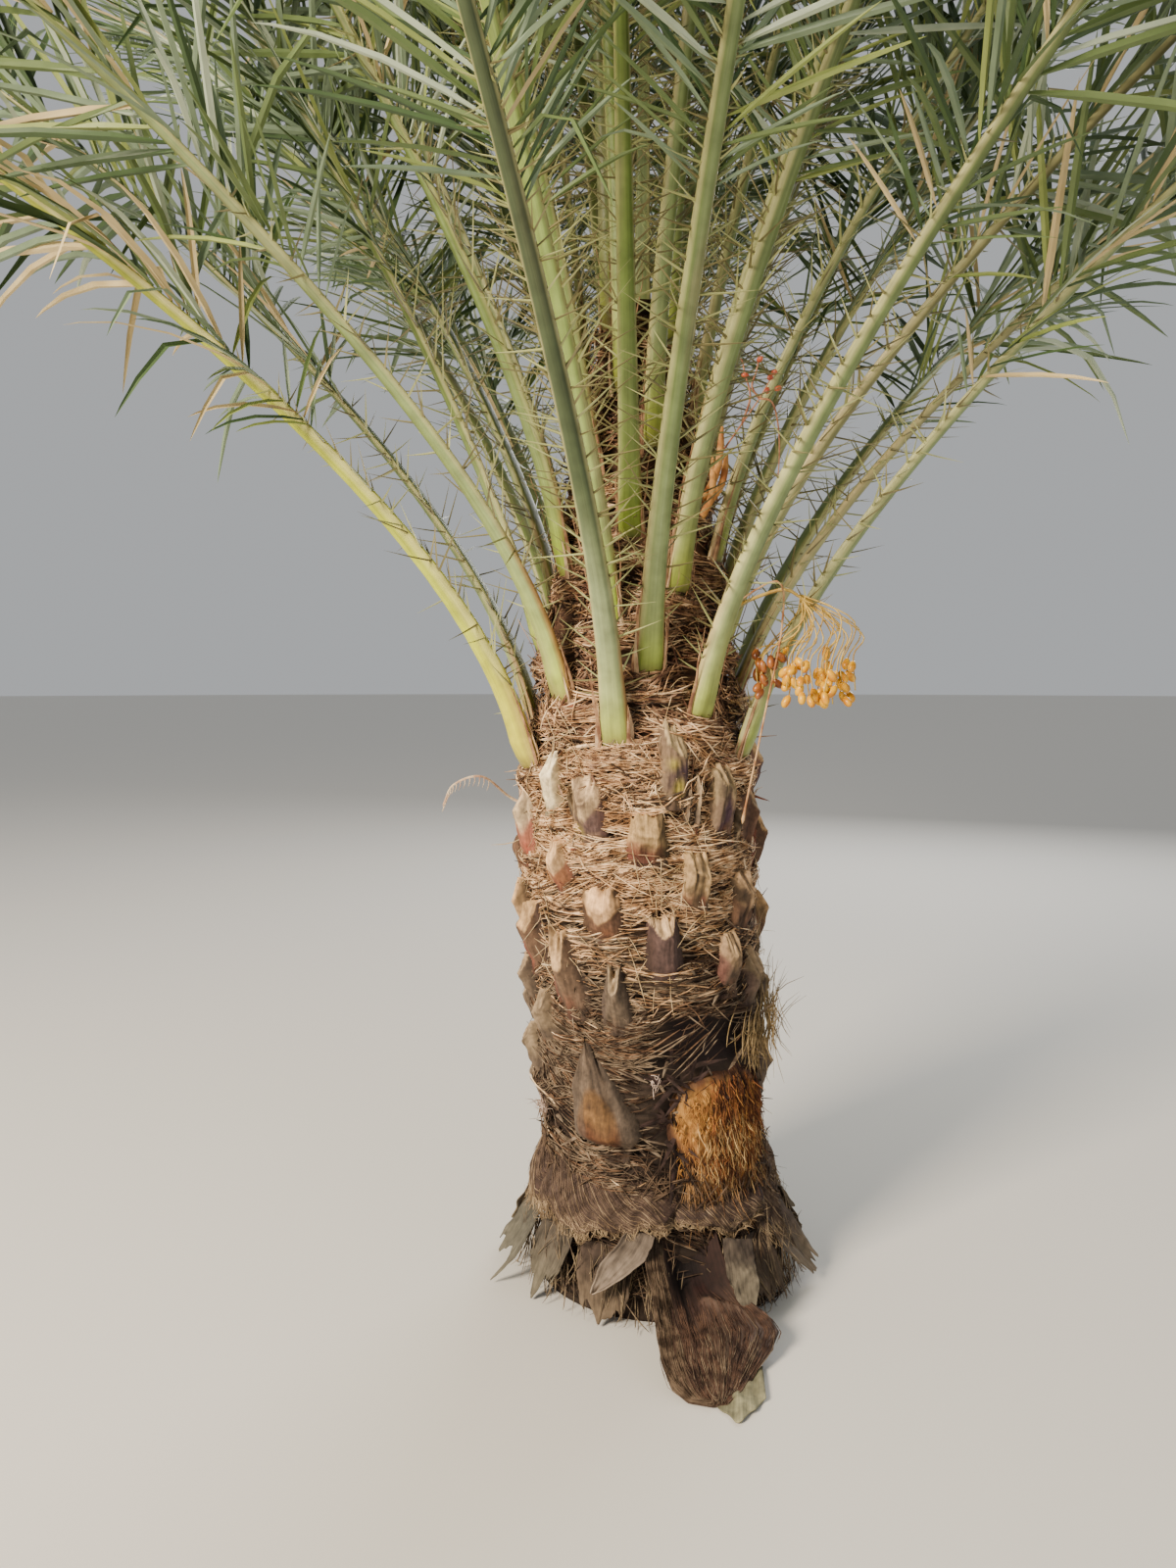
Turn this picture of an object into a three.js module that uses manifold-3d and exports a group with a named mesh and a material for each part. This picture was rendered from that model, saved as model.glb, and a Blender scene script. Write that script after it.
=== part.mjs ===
// A date palm with a short trunk, its cut leaf bases, and a full crown of fronds.
// Millimetres, +Z up. The origin is the middle of the flat cut under the trunk, and the front is -Y.
// An azimuth is an angle round the trunk in degrees: 0 is the front, and it grows towards +X.

import * as THREE from 'three';
import { mergeVertices } from 'three/addons/utils/BufferGeometryUtils.js';
import Module from 'manifold-3d';

const wasm = await Module();
wasm.setup();

// Trunk: its fibre-covered surface as heights and radii, from the flared foot to the growing tip
const TRUNK_SIDES = 44;
const TRUNK_PROFILE = [
  [0, 288], [60, 272], [160, 250], [330, 234], [600, 242], [950, 248], [1150, 234],
  [1330, 205], [1520, 172], [1750, 138], [2000, 98], [2150, 62],
];
const LEAN_SHIFT = -60;
const LEAN_HEIGHT = 950;

// Leaf spiral: leaf 0 is the lowest living frond
const FIRST_AZIMUTH = -70;
const DIVERGENCE = 137.7;
const FIRST_HEIGHT = 1155;
const FROND_RISE = 16.5;
const FROND_RISE_GROWTH = 0.14;
const ALL_FRONDS = 44;
const OWN_FRONDS = 36;
const SPLIT_FRONDS = 18;
const SEAT_GAP = 0.3;

// Frond: lean from upright at its base, the arch it takes on within its first metre, and its droop
const BASE_LEAN = 12.5;
const UPPER_LEAN_LOSS = 0.22;
const UPPER_FROM = 24;
const ARCH = 39;
const ARCH_LOSS = 0.92;
const ARCH_REACH = 450;
const DROOP = 40;
const DROOP_LOSS = 0.7;
const FROND_LENGTH = 3250;
const LENGTH_SWELL = 450;
const PETIOLE_LENGTH = 800;
const PETIOLE_GROWTH = 9;
const PETIOLE_WIDTH = 74;
const PETIOLE_DEPTH = 34;
const RACHIS_WIDTH = 30;
const RACHIS_DEPTH = 10;
const INNER_CROWN = 4;
const BOOT_LENGTH = 60;
const BLADE_HALF = 270;
const BLADE_HALF_LOSS = 2.4;
const BLADE_RISE = 0.22;
const BLADE_FALL = 0.985;
const TURN_REACH = 500;
const PATH_STEP = 10;

// How this tree's own fronds depart from the rule: base azimuth, heading, lean and arch, in degrees
const DEPARTURES = new Map([
  [0, [6, -13, -5, 10]],
  [1, [-2, 1, 0, -3]],
  [3, [6, 1, -1, -3]],
  [6, [-2, 5, 2, -2]],
  [8, [4, -7, 0, 8]],
  [9, [6, -2, 5, 1]],
  [11, [2, 8, 2, -5]],
  [13, [-4, 0, 0, -10]],
  [14, [4, 10, 3, 6]],
  [16, [10, 2, 3, -8]],
  [19, [0, 8, 0, 3]],
  [21, [0, -4, -4, 5]],
  [22, [-12, 0, -2, 5]],
  [24, [0, 2, -2, -4]],
  [27, [-4, 4, 1, 0]],
  [32, [-4, 6, -2, 0]],
]);

// Cut leaf bases below the living fronds, on a closer spiral that runs down from the same height.
// They are upright wedges with a flat cut, and stand out further at the top than at the foot.
const STUB_COUNT = 62;
const STUB_AZIMUTH = -76;
const STUB_DIVERGENCE = 138.4;
const STUB_RISE = 13.25;
const STUB_HEIGHT = 105;
const STUB_WIDTH = 68;
const STUB_TOP_WIDTH = 52;
const STUB_ROOT = 30;
const STUB_PROUD_FOOT = 3;
const STUB_PROUD_TOP = 30;
const STUB_FLAT = 0.45;
const STUB_SHOULDER = 0.55;

// How the front stubs depart from the rule: azimuth in degrees, height, and size as a share
const STUB_DEPARTURES = new Map([
  [2, [8, -28, 1.35]],
  [5, [8, -18, 0.8]],
  [7, [5, -46, 1]],
  [10, [-1, 4, 1]],
  [13, [16, -3, 1]],
  [15, [-5, 3, 1]],
  [18, [7, -24, 1]],
  [20, [-7, -8, 1]],
  [23, [5, -41, 1]],
  [28, [5, -47, 1.1]],
  [33, [12, -19, 1]],
  [36, [-12, -9, 1.1]],
  [41, [-18, 31, 0.9]],
  [62, [5, 21, 1.8]],
]);

// Scar of the offshoot that was cut away: a shallow fibrous dome low on the right of the front
const SCAR_AZIMUTH = 34;
const SCAR_HEIGHT = 375;
const SCAR_HALF_WIDTH = 112;
const SCAR_HALF_HEIGHT = 145;
const SCAR_DOME = 34;
const SCAR_EDGE = 5;
const SCAR_ROOT = 15;
const SCAR_RINGS = 4;
const SCAR_SIDES = 20;

// Old leaf sheath that hangs from the foot and lies forward on the ground
const SHEATH_AZIMUTH = 14;
const SHEATH_TOP = 205;
const SHEATH_REACH = 395;
const SHEATH_ROOT = 25;
const SHEATH_THICKNESS = 16;
const SHEATH_HALF_WIDTH = 95;
const SHEATH_TIP_HALF = 30;
const SHEATH_CUP = 34;
const SHEATH_CUP_START = 0.25;
const SHEATH_STEPS = 8;
const SHEATH_COLUMNS = 6;
const GROUND_CLEARANCE = 1;

// Innermost fronds, still upright, as three sheaves round the growing tip
const SHEAF_AZIMUTHS = [-25, 95, 215];
const SHEAF_NAMES = ['inner_fronds_front', 'inner_fronds_right', 'inner_fronds_left'];
const SHEAF_SPREAD = 50;
const SHEAF_INNER = 18;
const SHEAF_SIDES = 10;
const SHEAF_LOBES = 2.5;
const SHEAF_LOBE_DEPTH = 0.16;
const SHEAF_PROFILE = [
  [0, 56], [350, 130], [850, 235], [1350, 320], [1850, 365], [2350, 340], [2850, 215], [3150, 70],
];

const finish = (colour, roughness) =>
  new THREE.MeshStandardMaterial({ color: colour, roughness, metalness: 0 });
const fibreBark = finish(0x8f7550, 0.95);
const scarFibre = finish(0xb8742a, 0.95);
const drySheath = finish(0x5e463a, 0.9);
const frondGreen = finish(0x7f9468, 0.6);
const sheafGreen = finish(0x93a57c, 0.6);

// Level direction of an azimuth.
function heading(azimuth) {
  const angle = THREE.MathUtils.degToRad(azimuth);
  return new THREE.Vector3(Math.sin(angle), -Math.cos(angle), 0);
}

// Value at x on a line drawn through [place, value] pairs.
function along(pairs, x) {
  const last = pairs.length - 1;
  if (x <= pairs[0][0]) return pairs[0][1];
  if (x >= pairs[last][0]) return pairs[last][1];
  const i = pairs.findIndex((pair) => pair[0] > x);
  const [x0, y0] = pairs[i - 1];
  const [x1, y1] = pairs[i];
  return y0 + ((x - x0) / (x1 - x0)) * (y1 - y0);
}

const trunkRadius = (z) => along(TRUNK_PROFILE, z);
const trunkAxis = (z) => new THREE.Vector3(LEAN_SHIFT * Math.min(z / LEAN_HEIGHT, 1), 0, z);

// Point at a distance outside the trunk's surface.
function onTrunk(azimuth, z, outside) {
  return trunkAxis(z).addScaledVector(heading(azimuth), trunkRadius(z) + outside);
}

// Closed solid through rings of points. Each ring runs anticlockwise seen from the last ring.
function loft(rings) {
  const count = rings[0].length;
  const points = rings.flat();
  const faces = [];
  for (let r = 0; r < rings.length - 1; r += 1) {
    for (let i = 0; i < count; i += 1) {
      const a = r * count + i;
      const b = r * count + ((i + 1) % count);
      faces.push(a, b, b + count, a, b + count, a + count);
    }
  }
  const top = (rings.length - 1) * count;
  for (let i = 1; i < count - 1; i += 1) {
    faces.push(0, i + 1, i);
    faces.push(top, top + i, top + i + 1);
  }
  const geometry = new THREE.BufferGeometry().setFromPoints(points);
  geometry.setIndex(faces);
  return geometry;
}

function toManifold(geometry) {
  const merged = mergeVertices(geometry);
  return new wasm.Manifold(new wasm.Mesh({
    numProp: 3,
    vertProperties: new Float32Array(merged.getAttribute('position').array),
    triVerts: new Uint32Array(merged.getIndex().array),
  }));
}

function fromManifold(solid) {
  const mesh = solid.getMesh();
  const geometry = new THREE.BufferGeometry();
  geometry.setAttribute('position', new THREE.BufferAttribute(mesh.vertProperties, 3));
  geometry.setIndex(new THREE.BufferAttribute(mesh.triVerts, 1));
  return geometry;
}

// Ring of the trunk's surface at one level of its profile, or a little outside it.
function trunkRing([z, radius], outside) {
  return Array.from({ length: TRUNK_SIDES }, (_, i) =>
    trunkAxis(z).addScaledVector(heading((360 * i) / TRUNK_SIDES), radius + outside));
}

// Place of stub n, counted down from the lowest frond, and its size.
function stubPlace(n) {
  const [azimuthShift, heightShift, size] = STUB_DEPARTURES.get(n) ?? [0, 0, 1];
  return {
    azimuth: STUB_AZIMUTH - STUB_DIVERGENCE * n + azimuthShift,
    z: FIRST_HEIGHT - STUB_RISE * n + heightShift,
    size,
  };
}

// Signed difference of two azimuths, from -180 to 180.
const turn = (a, b) => THREE.MathUtils.euclideanModulo(a - b + 180, 360) - 180;

// True where a stub would stand on the offshoot's scar.
function onScar({ azimuth, z }) {
  const across = THREE.MathUtils.degToRad(turn(azimuth, SCAR_AZIMUTH)) * trunkRadius(z);
  const halfWidth = SCAR_HALF_WIDTH + STUB_WIDTH / 2;
  return Math.abs(across) < halfWidth && Math.abs(z - SCAR_HEIGHT) < SCAR_HALF_HEIGHT + STUB_HEIGHT;
}

// One cut leaf base: a six-sided wedge that is rooted inside the trunk.
function stub({ azimuth, z, size }) {
  const side = heading(azimuth + 90);
  const section = (height, halfWidth, proud) => {
    const flat = halfWidth * STUB_FLAT;
    const shoulder = proud * STUB_SHOULDER;
    const spots = [
      [-halfWidth, -STUB_ROOT], [-halfWidth, shoulder], [-flat, proud],
      [flat, proud], [halfWidth, shoulder], [halfWidth, -STUB_ROOT],
    ];
    return spots.map(([across, out]) => onTrunk(azimuth, height, out).addScaledVector(side, across));
  };
  return loft([
    section(z, (STUB_WIDTH * size) / 2, STUB_PROUD_FOOT),
    section(z + STUB_HEIGHT * size, (STUB_TOP_WIDTH * size) / 2, STUB_PROUD_TOP),
  ]);
}

function trunk() {
  let solid = toManifold(loft(TRUNK_PROFILE.map((level) => trunkRing(level, 0))));
  for (let n = 2; n <= STUB_COUNT; n += 1) {
    const place = stubPlace(n);
    if (!onScar(place)) solid = solid.add(toManifold(stub(place)));
  }
  return fromManifold(solid);
}

// A piece that starts inside the trunk, cut back to the seat gap outside its surface.
function seatOnTrunk(geometry) {
  const cutter = toManifold(loft(TRUNK_PROFILE.map((level) => trunkRing(level, SEAT_GAP))));
  return fromManifold(toManifold(geometry).subtract(cutter));
}

// Shallow dome on the trunk: rings of one oval on its inner side, then on its outer side.
function offshootScar() {
  const spot = (share, angle, outside) => {
    const z = SCAR_HEIGHT + SCAR_HALF_HEIGHT * share * Math.sin(angle);
    const across = (SCAR_HALF_WIDTH * share * Math.cos(angle)) / trunkRadius(z);
    return onTrunk(SCAR_AZIMUTH + THREE.MathUtils.radToDeg(across), z, outside);
  };
  const ring = (share, outside) => Array.from({ length: SCAR_SIDES }, (_, i) =>
    spot(share, (2 * Math.PI * i) / SCAR_SIDES, outside));
  const shares = Array.from({ length: SCAR_RINGS }, (_, i) => (i + 1) / SCAR_RINGS);
  const inner = shares.map((share) => ring(share, -SCAR_ROOT));
  const outer = shares.map((share) => ring(share, SCAR_EDGE + SCAR_DOME * (1 - share * share)));
  return seatOnTrunk(loft([...inner, ...outer.reverse()]));
}

// Cupped slab: it hangs from the foot of the trunk and curves forward until it lies on the ground.
function fallenSheath() {
  const out = heading(SHEATH_AZIMUTH);
  const side = heading(SHEATH_AZIMUTH + 90);
  const start = onTrunk(SHEATH_AZIMUTH, SHEATH_TOP, 0);
  const rings = [];
  for (let i = 0; i <= SHEATH_STEPS; i += 1) {
    const t = i / SHEATH_STEPS;
    const reach = THREE.MathUtils.lerp(-SHEATH_ROOT, SHEATH_REACH, t);
    const half = THREE.MathUtils.lerp(SHEATH_HALF_WIDTH, SHEATH_TIP_HALF, t * t);
    const cup = SHEATH_CUP * (1 - t) * Math.min(1, t / SHEATH_CUP_START);
    const low = THREE.MathUtils.lerp(SHEATH_TOP, GROUND_CLEARANCE, Math.sin((t * Math.PI) / 2));
    const row = (thickness, sign) => Array.from({ length: SHEATH_COLUMNS + 1 }, (_, c) => {
      const v = sign * (1 - (2 * c) / SHEATH_COLUMNS);
      const point = start.clone().addScaledVector(out, reach).addScaledVector(side, half * v);
      return point.setZ(low + thickness + cup * v * v);
    });
    rings.push([...row(SHEATH_THICKNESS, 1), ...row(0, -1)]);
  }
  return seatOnTrunk(loft(rings));
}

// A frond's own numbers, from the rule and from how it departs from it.
function frondForm(n) {
  const azimuth = FIRST_AZIMUTH + DIVERGENCE * n;
  const [baseShift, headingShift, leanShift, archShift] = DEPARTURES.get(n) ?? [0, 0, 0, 0];
  const length = FROND_LENGTH + LENGTH_SWELL * Math.sin((Math.PI * (n + 2)) / ALL_FRONDS);
  return {
    z: FIRST_HEIGHT + FROND_RISE * n + FROND_RISE_GROWTH * n * n,
    azimuth: azimuth + baseShift,
    heading: azimuth + headingShift,
    lean: BASE_LEAN - UPPER_LEAN_LOSS * Math.max(0, n - UPPER_FROM) + leanShift,
    arch: Math.max(0, ARCH - ARCH_LOSS * n + archShift),
    droop: DROOP - DROOP_LOSS * n,
    length,
    petiole: PETIOLE_LENGTH + PETIOLE_GROWTH * n,
    half: BLADE_HALF - BLADE_HALF_LOSS * n,
  };
}

// Where the frond's inner ridge runs. It lies along the trunk for the length of its boot, then leans
// out by lean + arch (1 - e^(-s / reach)) + droop (s / length)^3, and turns into its own heading.
function frondPath(form, stations) {
  const lowest = form.z - BOOT_LENGTH;
  const boot = onTrunk(form.azimuth, lowest, 0);
  const start = onTrunk(form.azimuth, form.z, 0);
  let lift = 0;
  for (let i = 0; i <= 4; i += 1) {
    const point = boot.clone().lerp(start, i / 4);
    const radius = point.clone().sub(trunkAxis(point.z)).setZ(0).length();
    lift = Math.max(lift, trunkRadius(point.z) - radius);
  }
  const outwards = heading(form.azimuth).multiplyScalar(lift + SEAT_GAP);
  boot.add(outwards);
  start.add(outwards);
  const direction = (s) => {
    const blend = THREE.MathUtils.smoothstep(s, 0, TURN_REACH);
    const azimuth = THREE.MathUtils.lerp(form.azimuth, form.heading, blend);
    const settled = form.lean + form.arch * (1 - Math.exp(-s / ARCH_REACH));
    const lean = THREE.MathUtils.degToRad(settled + form.droop * (s / form.length) ** 3);
    const out = heading(azimuth);
    const forward = out.clone().multiplyScalar(Math.sin(lean)).setZ(Math.cos(lean));
    const under = out.clone().multiplyScalar(Math.cos(lean)).setZ(-Math.sin(lean));
    return { forward, under, side: heading(azimuth + 90) };
  };
  const rows = [{ s: -BOOT_LENGTH, point: boot, ...bootFrame(form, boot, start) }];
  const point = start.clone();
  let s = 0;
  for (const station of stations) {
    while (s < station) {
      const advance = Math.min(PATH_STEP, station - s);
      point.addScaledVector(direction(s + advance / 2).forward, advance);
      s += advance;
    }
    rows.push({ s: station, point: point.clone(), ...direction(station) });
  }
  return rows;
}

// Directions at the boot, which lies flat along the trunk.
function bootFrame(form, boot, start) {
  const forward = start.clone().sub(boot).normalize();
  const side = heading(form.azimuth + 90);
  return { forward, side, under: side.clone().cross(forward).normalize() };
}

// Half width and depth of the frond at s: its stalk, then the outline of its leaflets.
function frondSection(form, s) {
  const stalk = THREE.MathUtils.clamp(s / form.length, 0, 1);
  const half = THREE.MathUtils.lerp(PETIOLE_WIDTH, RACHIS_WIDTH, Math.sqrt(stalk)) / 2;
  const depth = THREE.MathUtils.lerp(PETIOLE_DEPTH, RACHIS_DEPTH, stalk);
  const u = (s - form.petiole) / (form.length - form.petiole);
  if (u <= 0) return { half, depth };
  const rise = THREE.MathUtils.smoothstep(u, 0, BLADE_RISE);
  const fall = Math.sqrt(1 - BLADE_FALL * u * u);
  return { half: Math.max(half, form.half * rise * fall), depth };
}

// Four-sided section: right edge, low crown on the inner side, left edge, keel underneath.
function frondRing(form, row) {
  const { half, depth } = frondSection(form, row.s);
  const at = (across, below) =>
    row.point.clone().addScaledVector(row.side, across).addScaledVector(row.under, below);
  return [at(half, INNER_CROWN), at(0, 0), at(-half, INNER_CROWN), at(0, depth)];
}

const STALK_SHARES = [0, 0.12, 0.3, 0.52, 0.76, 1];
const BLADE_SHARES = [0.07, 0.14, 0.22, 0.36, 0.5, 0.64, 0.78, 0.9, 1];

// Solids of one frond: one blade, or its stalk and its feathered part as two, split at the bend.
function frondSolids(n) {
  const form = frondForm(n);
  const stalk = STALK_SHARES.map((share) => share * form.petiole);
  const blade = BLADE_SHARES.map((share) => form.petiole + share * (form.length - form.petiole));
  if (n >= SPLIT_FRONDS) {
    const rows = frondPath(form, [...stalk, ...blade]);
    return [loft(rows.map((row) => frondRing(form, row)))];
  }
  const rows = frondPath(form, [...stalk, form.petiole + SEAT_GAP, ...blade]);
  const cut = stalk.length + 1;
  const rings = rows.map((row) => frondRing(form, row));
  return [loft(rings.slice(0, cut)), loft(rings.slice(cut))];
}

// Sheaf of upright inner fronds: a sector of a ring at each height, with a lobed outer side.
function sheaf(azimuth) {
  const foot = trunkAxis(TRUNK_PROFILE.at(-1)[0] + SEAT_GAP);
  return loft(SHEAF_PROFILE.map(([height, radius]) => {
    const spot = (angle, distance) =>
      foot.clone().addScaledVector(heading(azimuth + angle), distance).setZ(foot.z + height);
    const ring = [spot(0, SHEAF_INNER)];
    for (let i = 0; i <= SHEAF_SIDES; i += 1) {
      const share = i / SHEAF_SIDES;
      const lobe = Math.abs(Math.sin(SHEAF_LOBES * Math.PI * share));
      ring.push(spot(SHEAF_SPREAD * (2 * share - 1), radius * (1 - SHEAF_LOBE_DEPTH * (1 - lobe))));
    }
    return ring;
  }));
}

const palm = new THREE.Group();

function addPiece(name, geometry, material) {
  const piece = new THREE.Mesh(geometry, material);
  piece.name = name;
  palm.add(piece);
}

addPiece('trunk', trunk(), fibreBark);
addPiece('offshoot_scar', offshootScar(), scarFibre);
addPiece('fallen_sheath', fallenSheath(), drySheath);
SHEAF_AZIMUTHS.forEach((azimuth, i) => addPiece(SHEAF_NAMES[i], sheaf(azimuth), sheafGreen));
for (let n = 0; n < OWN_FRONDS; n += 1) {
  const name = `frond_${String(n + 1).padStart(2, '0')}`;
  const solids = frondSolids(n);
  if (solids.length === 1) {
    addPiece(name, solids[0], frondGreen);
  } else {
    addPiece(`${name}_stalk`, solids[0], frondGreen);
    addPiece(`${name}_blade`, solids[1], frondGreen);
  }
}

export default palm;
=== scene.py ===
import math

import bpy
import numpy as np
from mathutils import Euler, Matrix
from numpy.random import default_rng


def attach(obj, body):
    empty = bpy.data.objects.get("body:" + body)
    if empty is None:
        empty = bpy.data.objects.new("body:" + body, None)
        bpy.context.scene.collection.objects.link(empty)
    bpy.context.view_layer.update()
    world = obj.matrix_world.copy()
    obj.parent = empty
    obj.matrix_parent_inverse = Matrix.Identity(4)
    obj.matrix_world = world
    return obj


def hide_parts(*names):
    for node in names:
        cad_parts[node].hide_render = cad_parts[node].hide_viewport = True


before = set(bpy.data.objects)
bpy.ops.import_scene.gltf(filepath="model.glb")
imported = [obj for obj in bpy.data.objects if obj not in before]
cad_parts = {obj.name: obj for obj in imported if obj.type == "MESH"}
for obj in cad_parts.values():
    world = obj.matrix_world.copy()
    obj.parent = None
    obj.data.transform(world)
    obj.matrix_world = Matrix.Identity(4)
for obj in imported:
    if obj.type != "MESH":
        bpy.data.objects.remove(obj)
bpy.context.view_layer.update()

# Sizes in metres and angles in degrees. Azimuth 0 is the front, and it grows towards the right.

TRUNK_PROFILE = [
    (0.0, 0.288), (0.06, 0.272), (0.16, 0.25), (0.33, 0.234), (0.6, 0.242), (0.95, 0.248),
    (1.15, 0.234), (1.33, 0.205), (1.52, 0.172), (1.75, 0.138), (2.0, 0.098), (2.15, 0.062),
]
LEAN_SHIFT = -0.06
LEAN_HEIGHT = 0.95

ALL_FRONDS = 44
OWN_FRONDS = 36
SPLIT_FRONDS = 18
FIRST_AZIMUTH = -70
DIVERGENCE = 137.7
FIRST_HEIGHT = 1.155
FROND_RISE = 0.0165
FROND_RISE_GROWTH = 0.00014
FROND_LENGTH = 3.25
LENGTH_SWELL = 0.45
PETIOLE_LENGTH = 0.98
PETIOLE_GROWTH = 0.007
BASE_LEAN = 12.5
UPPER_LEAN_LOSS = 0.22
UPPER_FROM = 24
INNER_LEAN_LOSS = 0.75
INNER_LENGTH_LOSS = 0.09
ARCH = 39
ARCH_LOSS = 0.92
ARCH_REACH = 0.45
DROOP = 40
DROOP_LOSS = 0.7
TURN_REACH = 0.5
LINE_POINTS = 150
LINE_STEPS = 8
# Frond number: how much longer its leafless stalk is, how much thicker its rib, how much more its
# leaflets sag.
LONGER_STALKS = {3: 0.16, 6: 0.08}
THICKER_RIBS = {0: 1.55}
MORE_SAG = {0: 0.4}
# Frond number: shifts of its base azimuth, heading, lean and arch.
DEPARTURES = {
    0: (4, -10, -2, 2), 1: (-2, 1, 0, -3), 3: (6, 1, -1, -3), 6: (-2, 5, 2, -2),
    8: (4, -7, 0, 8), 9: (6, -2, 5, 1), 11: (2, 8, 2, -5), 13: (-4, 0, 0, -10),
    14: (4, 10, 3, 6), 16: (10, 2, 3, -8), 19: (0, 8, 0, 3), 21: (0, -4, -4, 5),
    22: (-12, 0, -2, 5), 24: (0, 2, -2, -4), 27: (-4, 4, 1, 0), 32: (-4, 6, -2, 0),
}

STUB_COUNT = 62
STUB_AZIMUTH = -76
STUB_DIVERGENCE = 138.4
STUB_RISE = 0.01325
STUB_HALF_WIDTH = 0.034
STUB_HEIGHT = 0.108
FIRST_LOWER_STUB = 24
# Stub number: shifts of its azimuth and height, half width, height, where its cut starts (0 at the
# foot, 1 at the top), how wide its top is, its lean, and the depth of a notch in its top.
STUB_SHAPES = {
    2: (11, -0.016, 0.032, 0.138, 0.42, 0.98, 0.00, 0.0),
    5: (4, -0.006, 0.023, 0.104, 0.10, 0.80, -0.05, 0.0),
    7: (8, -0.034, 0.033, 0.128, 0.62, 0.86, 0.02, 0.0),
    10: (-3, 0.002, 0.041, 0.116, 0.30, 0.80, -0.08, 0.0),
    12: (3, 0.0, 0.030, 0.110, 0.40, 0.60, 0.00, 0.1),
    13: (12, -0.010, 0.034, 0.135, 0.50, 0.60, -0.10, 0.0),
    15: (-3, 0.027, 0.046, 0.084, 0.36, 0.80, 0.00, 0.0),
    18: (10, 0.000, 0.039, 0.088, 0.24, 0.36, -0.16, 0.0),
    20: (-8, -0.004, 0.032, 0.100, 0.30, 0.90, 0.02, 0.0),
    23: (2, -0.028, 0.045, 0.092, 0.25, 0.95, 0.00, 0.0),
    25: (-9, -0.002, 0.030, 0.108, 0.45, 0.70, 0.03, 0.0),
    26: (2, -0.02, 0.028, 0.110, 0.30, 0.40, -0.10, 0.0),
    28: (2, -0.044, 0.042, 0.112, 0.72, 0.82, 0.00, 0.0),
    31: (-13, -0.012, 0.036, 0.128, 0.30, 0.45, -0.05, 0.1),
    33: (8, -0.018, 0.031, 0.108, 0.40, 0.80, 0.00, 0.0),
    36: (-18, -0.014, 0.042, 0.150, 0.28, 0.60, -0.12, 0.1),
    41: (-23, 0.026, 0.034, 0.125, 0.35, 0.50, 0.02, 0.35),
    44: (-10, -0.010, 0.028, 0.105, 0.40, 0.60, 0.00, 0.1),
    62: (-5, 0.040, 0.070, 0.200, 0.25, 0.08, -0.17, 0.0),
}
STUB_FLATNESS = {2: 0.6, 5: 0.6, 7: 0.5, 10: 0.12, 15: 0.42, 18: 0.08, 20: 0.55, 23: 0.06, 28: 0.3}
STUBS_LEFT_OUT = (49, 57)
# The ones with a look of their own: the tall pointed one over the foot, the one with two patches of
# yellow flesh, the bleached one, the grey one and the one with a red left flank.
POINTED, YELLOW, BLEACHED, GREY, RED_FLANKED = 62, 2, 5, 7, 15
# The ones whose pale cut is cut straight, where others of their kind have it in a V.
STRAIGHT_CUTS = (5, 15, 20)
# Splinters beside the others: number, azimuth, height of the foot and shape.
EXTRA_STUBS = [
    (63, 29, 1.045, (0.010, 0.100, 0.20, 0.45, 0.02, 0.0)),
    (64, 24, 1.050, (0.007, 0.070, 0.20, 0.40, 0.10, 0.0)),
    (65, -30, 1.060, (0.009, 0.060, 0.15, 0.40, -0.15, 0.0)),
    (66, 52, 0.990, (0.009, 0.075, 0.20, 0.40, 0.20, 0.0)),
    (67, 160, 1.050, (0.011, 0.090, 0.20, 0.45, 0.05, 0.0)),
    (68, -140, 0.980, (0.010, 0.080, 0.20, 0.45, -0.05, 0.0)),
]

SCAR_AZIMUTH = 42
SCAR_HEIGHT = 0.392
SCAR_HALF_WIDTH = 0.136
SCAR_HALF_HEIGHT = 0.124
SCAR_DOME = 0.022
SCAR_PROUD = 0.006
SCAR_SQUARENESS = 2.6

SHEATH_AZIMUTH = 14
SHEATH_TOP = 0.172


# Small helpers

def linear(code):
    """The linear colour of an sRGB hex code."""
    srgb = np.array([int(code[i:i + 2], 16) for i in (1, 3, 5)]) / 255
    return np.where(srgb <= 0.04045, srgb / 12.92, ((srgb + 0.055) / 1.055) ** 2.4)


def paint(code):
    """The same colour with an alpha of 1, as a shader's socket takes it."""
    return (*linear(code), 1.0)


def smooth(x, low, high):
    """A smooth step: 0 below low, 1 above high."""
    t = np.clip((np.asarray(x, float) - low) / (high - low), 0, 1)
    return t * t * (3 - 2 * t)


def mix(a, b, t):
    """a where t is 0 and b where t is 1."""
    return a + (b - a) * t


def unit(v):
    """Vectors of length 1."""
    return v / np.maximum(np.linalg.norm(v, axis=-1, keepdims=True), 1e-12)


def heading(azimuth):
    """The level direction away from the trunk at an azimuth."""
    a = np.radians(azimuth)
    return np.stack([np.sin(a), -np.cos(a), np.zeros_like(a)], -1)


def trunk_radius(z):
    """The trunk's radius at a height, straight between the levels of its profile."""
    return np.interp(z, *np.array(TRUNK_PROFILE).T)


def on_trunk(azimuth, z, outside):
    """A point that lies outside the trunk's surface by that much: the leaning axis plus the radius."""
    azimuth, z, outside = np.broadcast_arrays(*[np.asarray(v, float) for v in (azimuth, z, outside)])
    point = heading(azimuth) * (trunk_radius(z) + outside)[..., None]
    point[..., 0] += LEAN_SHIFT * np.clip(z / LEAN_HEIGHT, 0, 1)
    point[..., 2] += z
    return point


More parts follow.
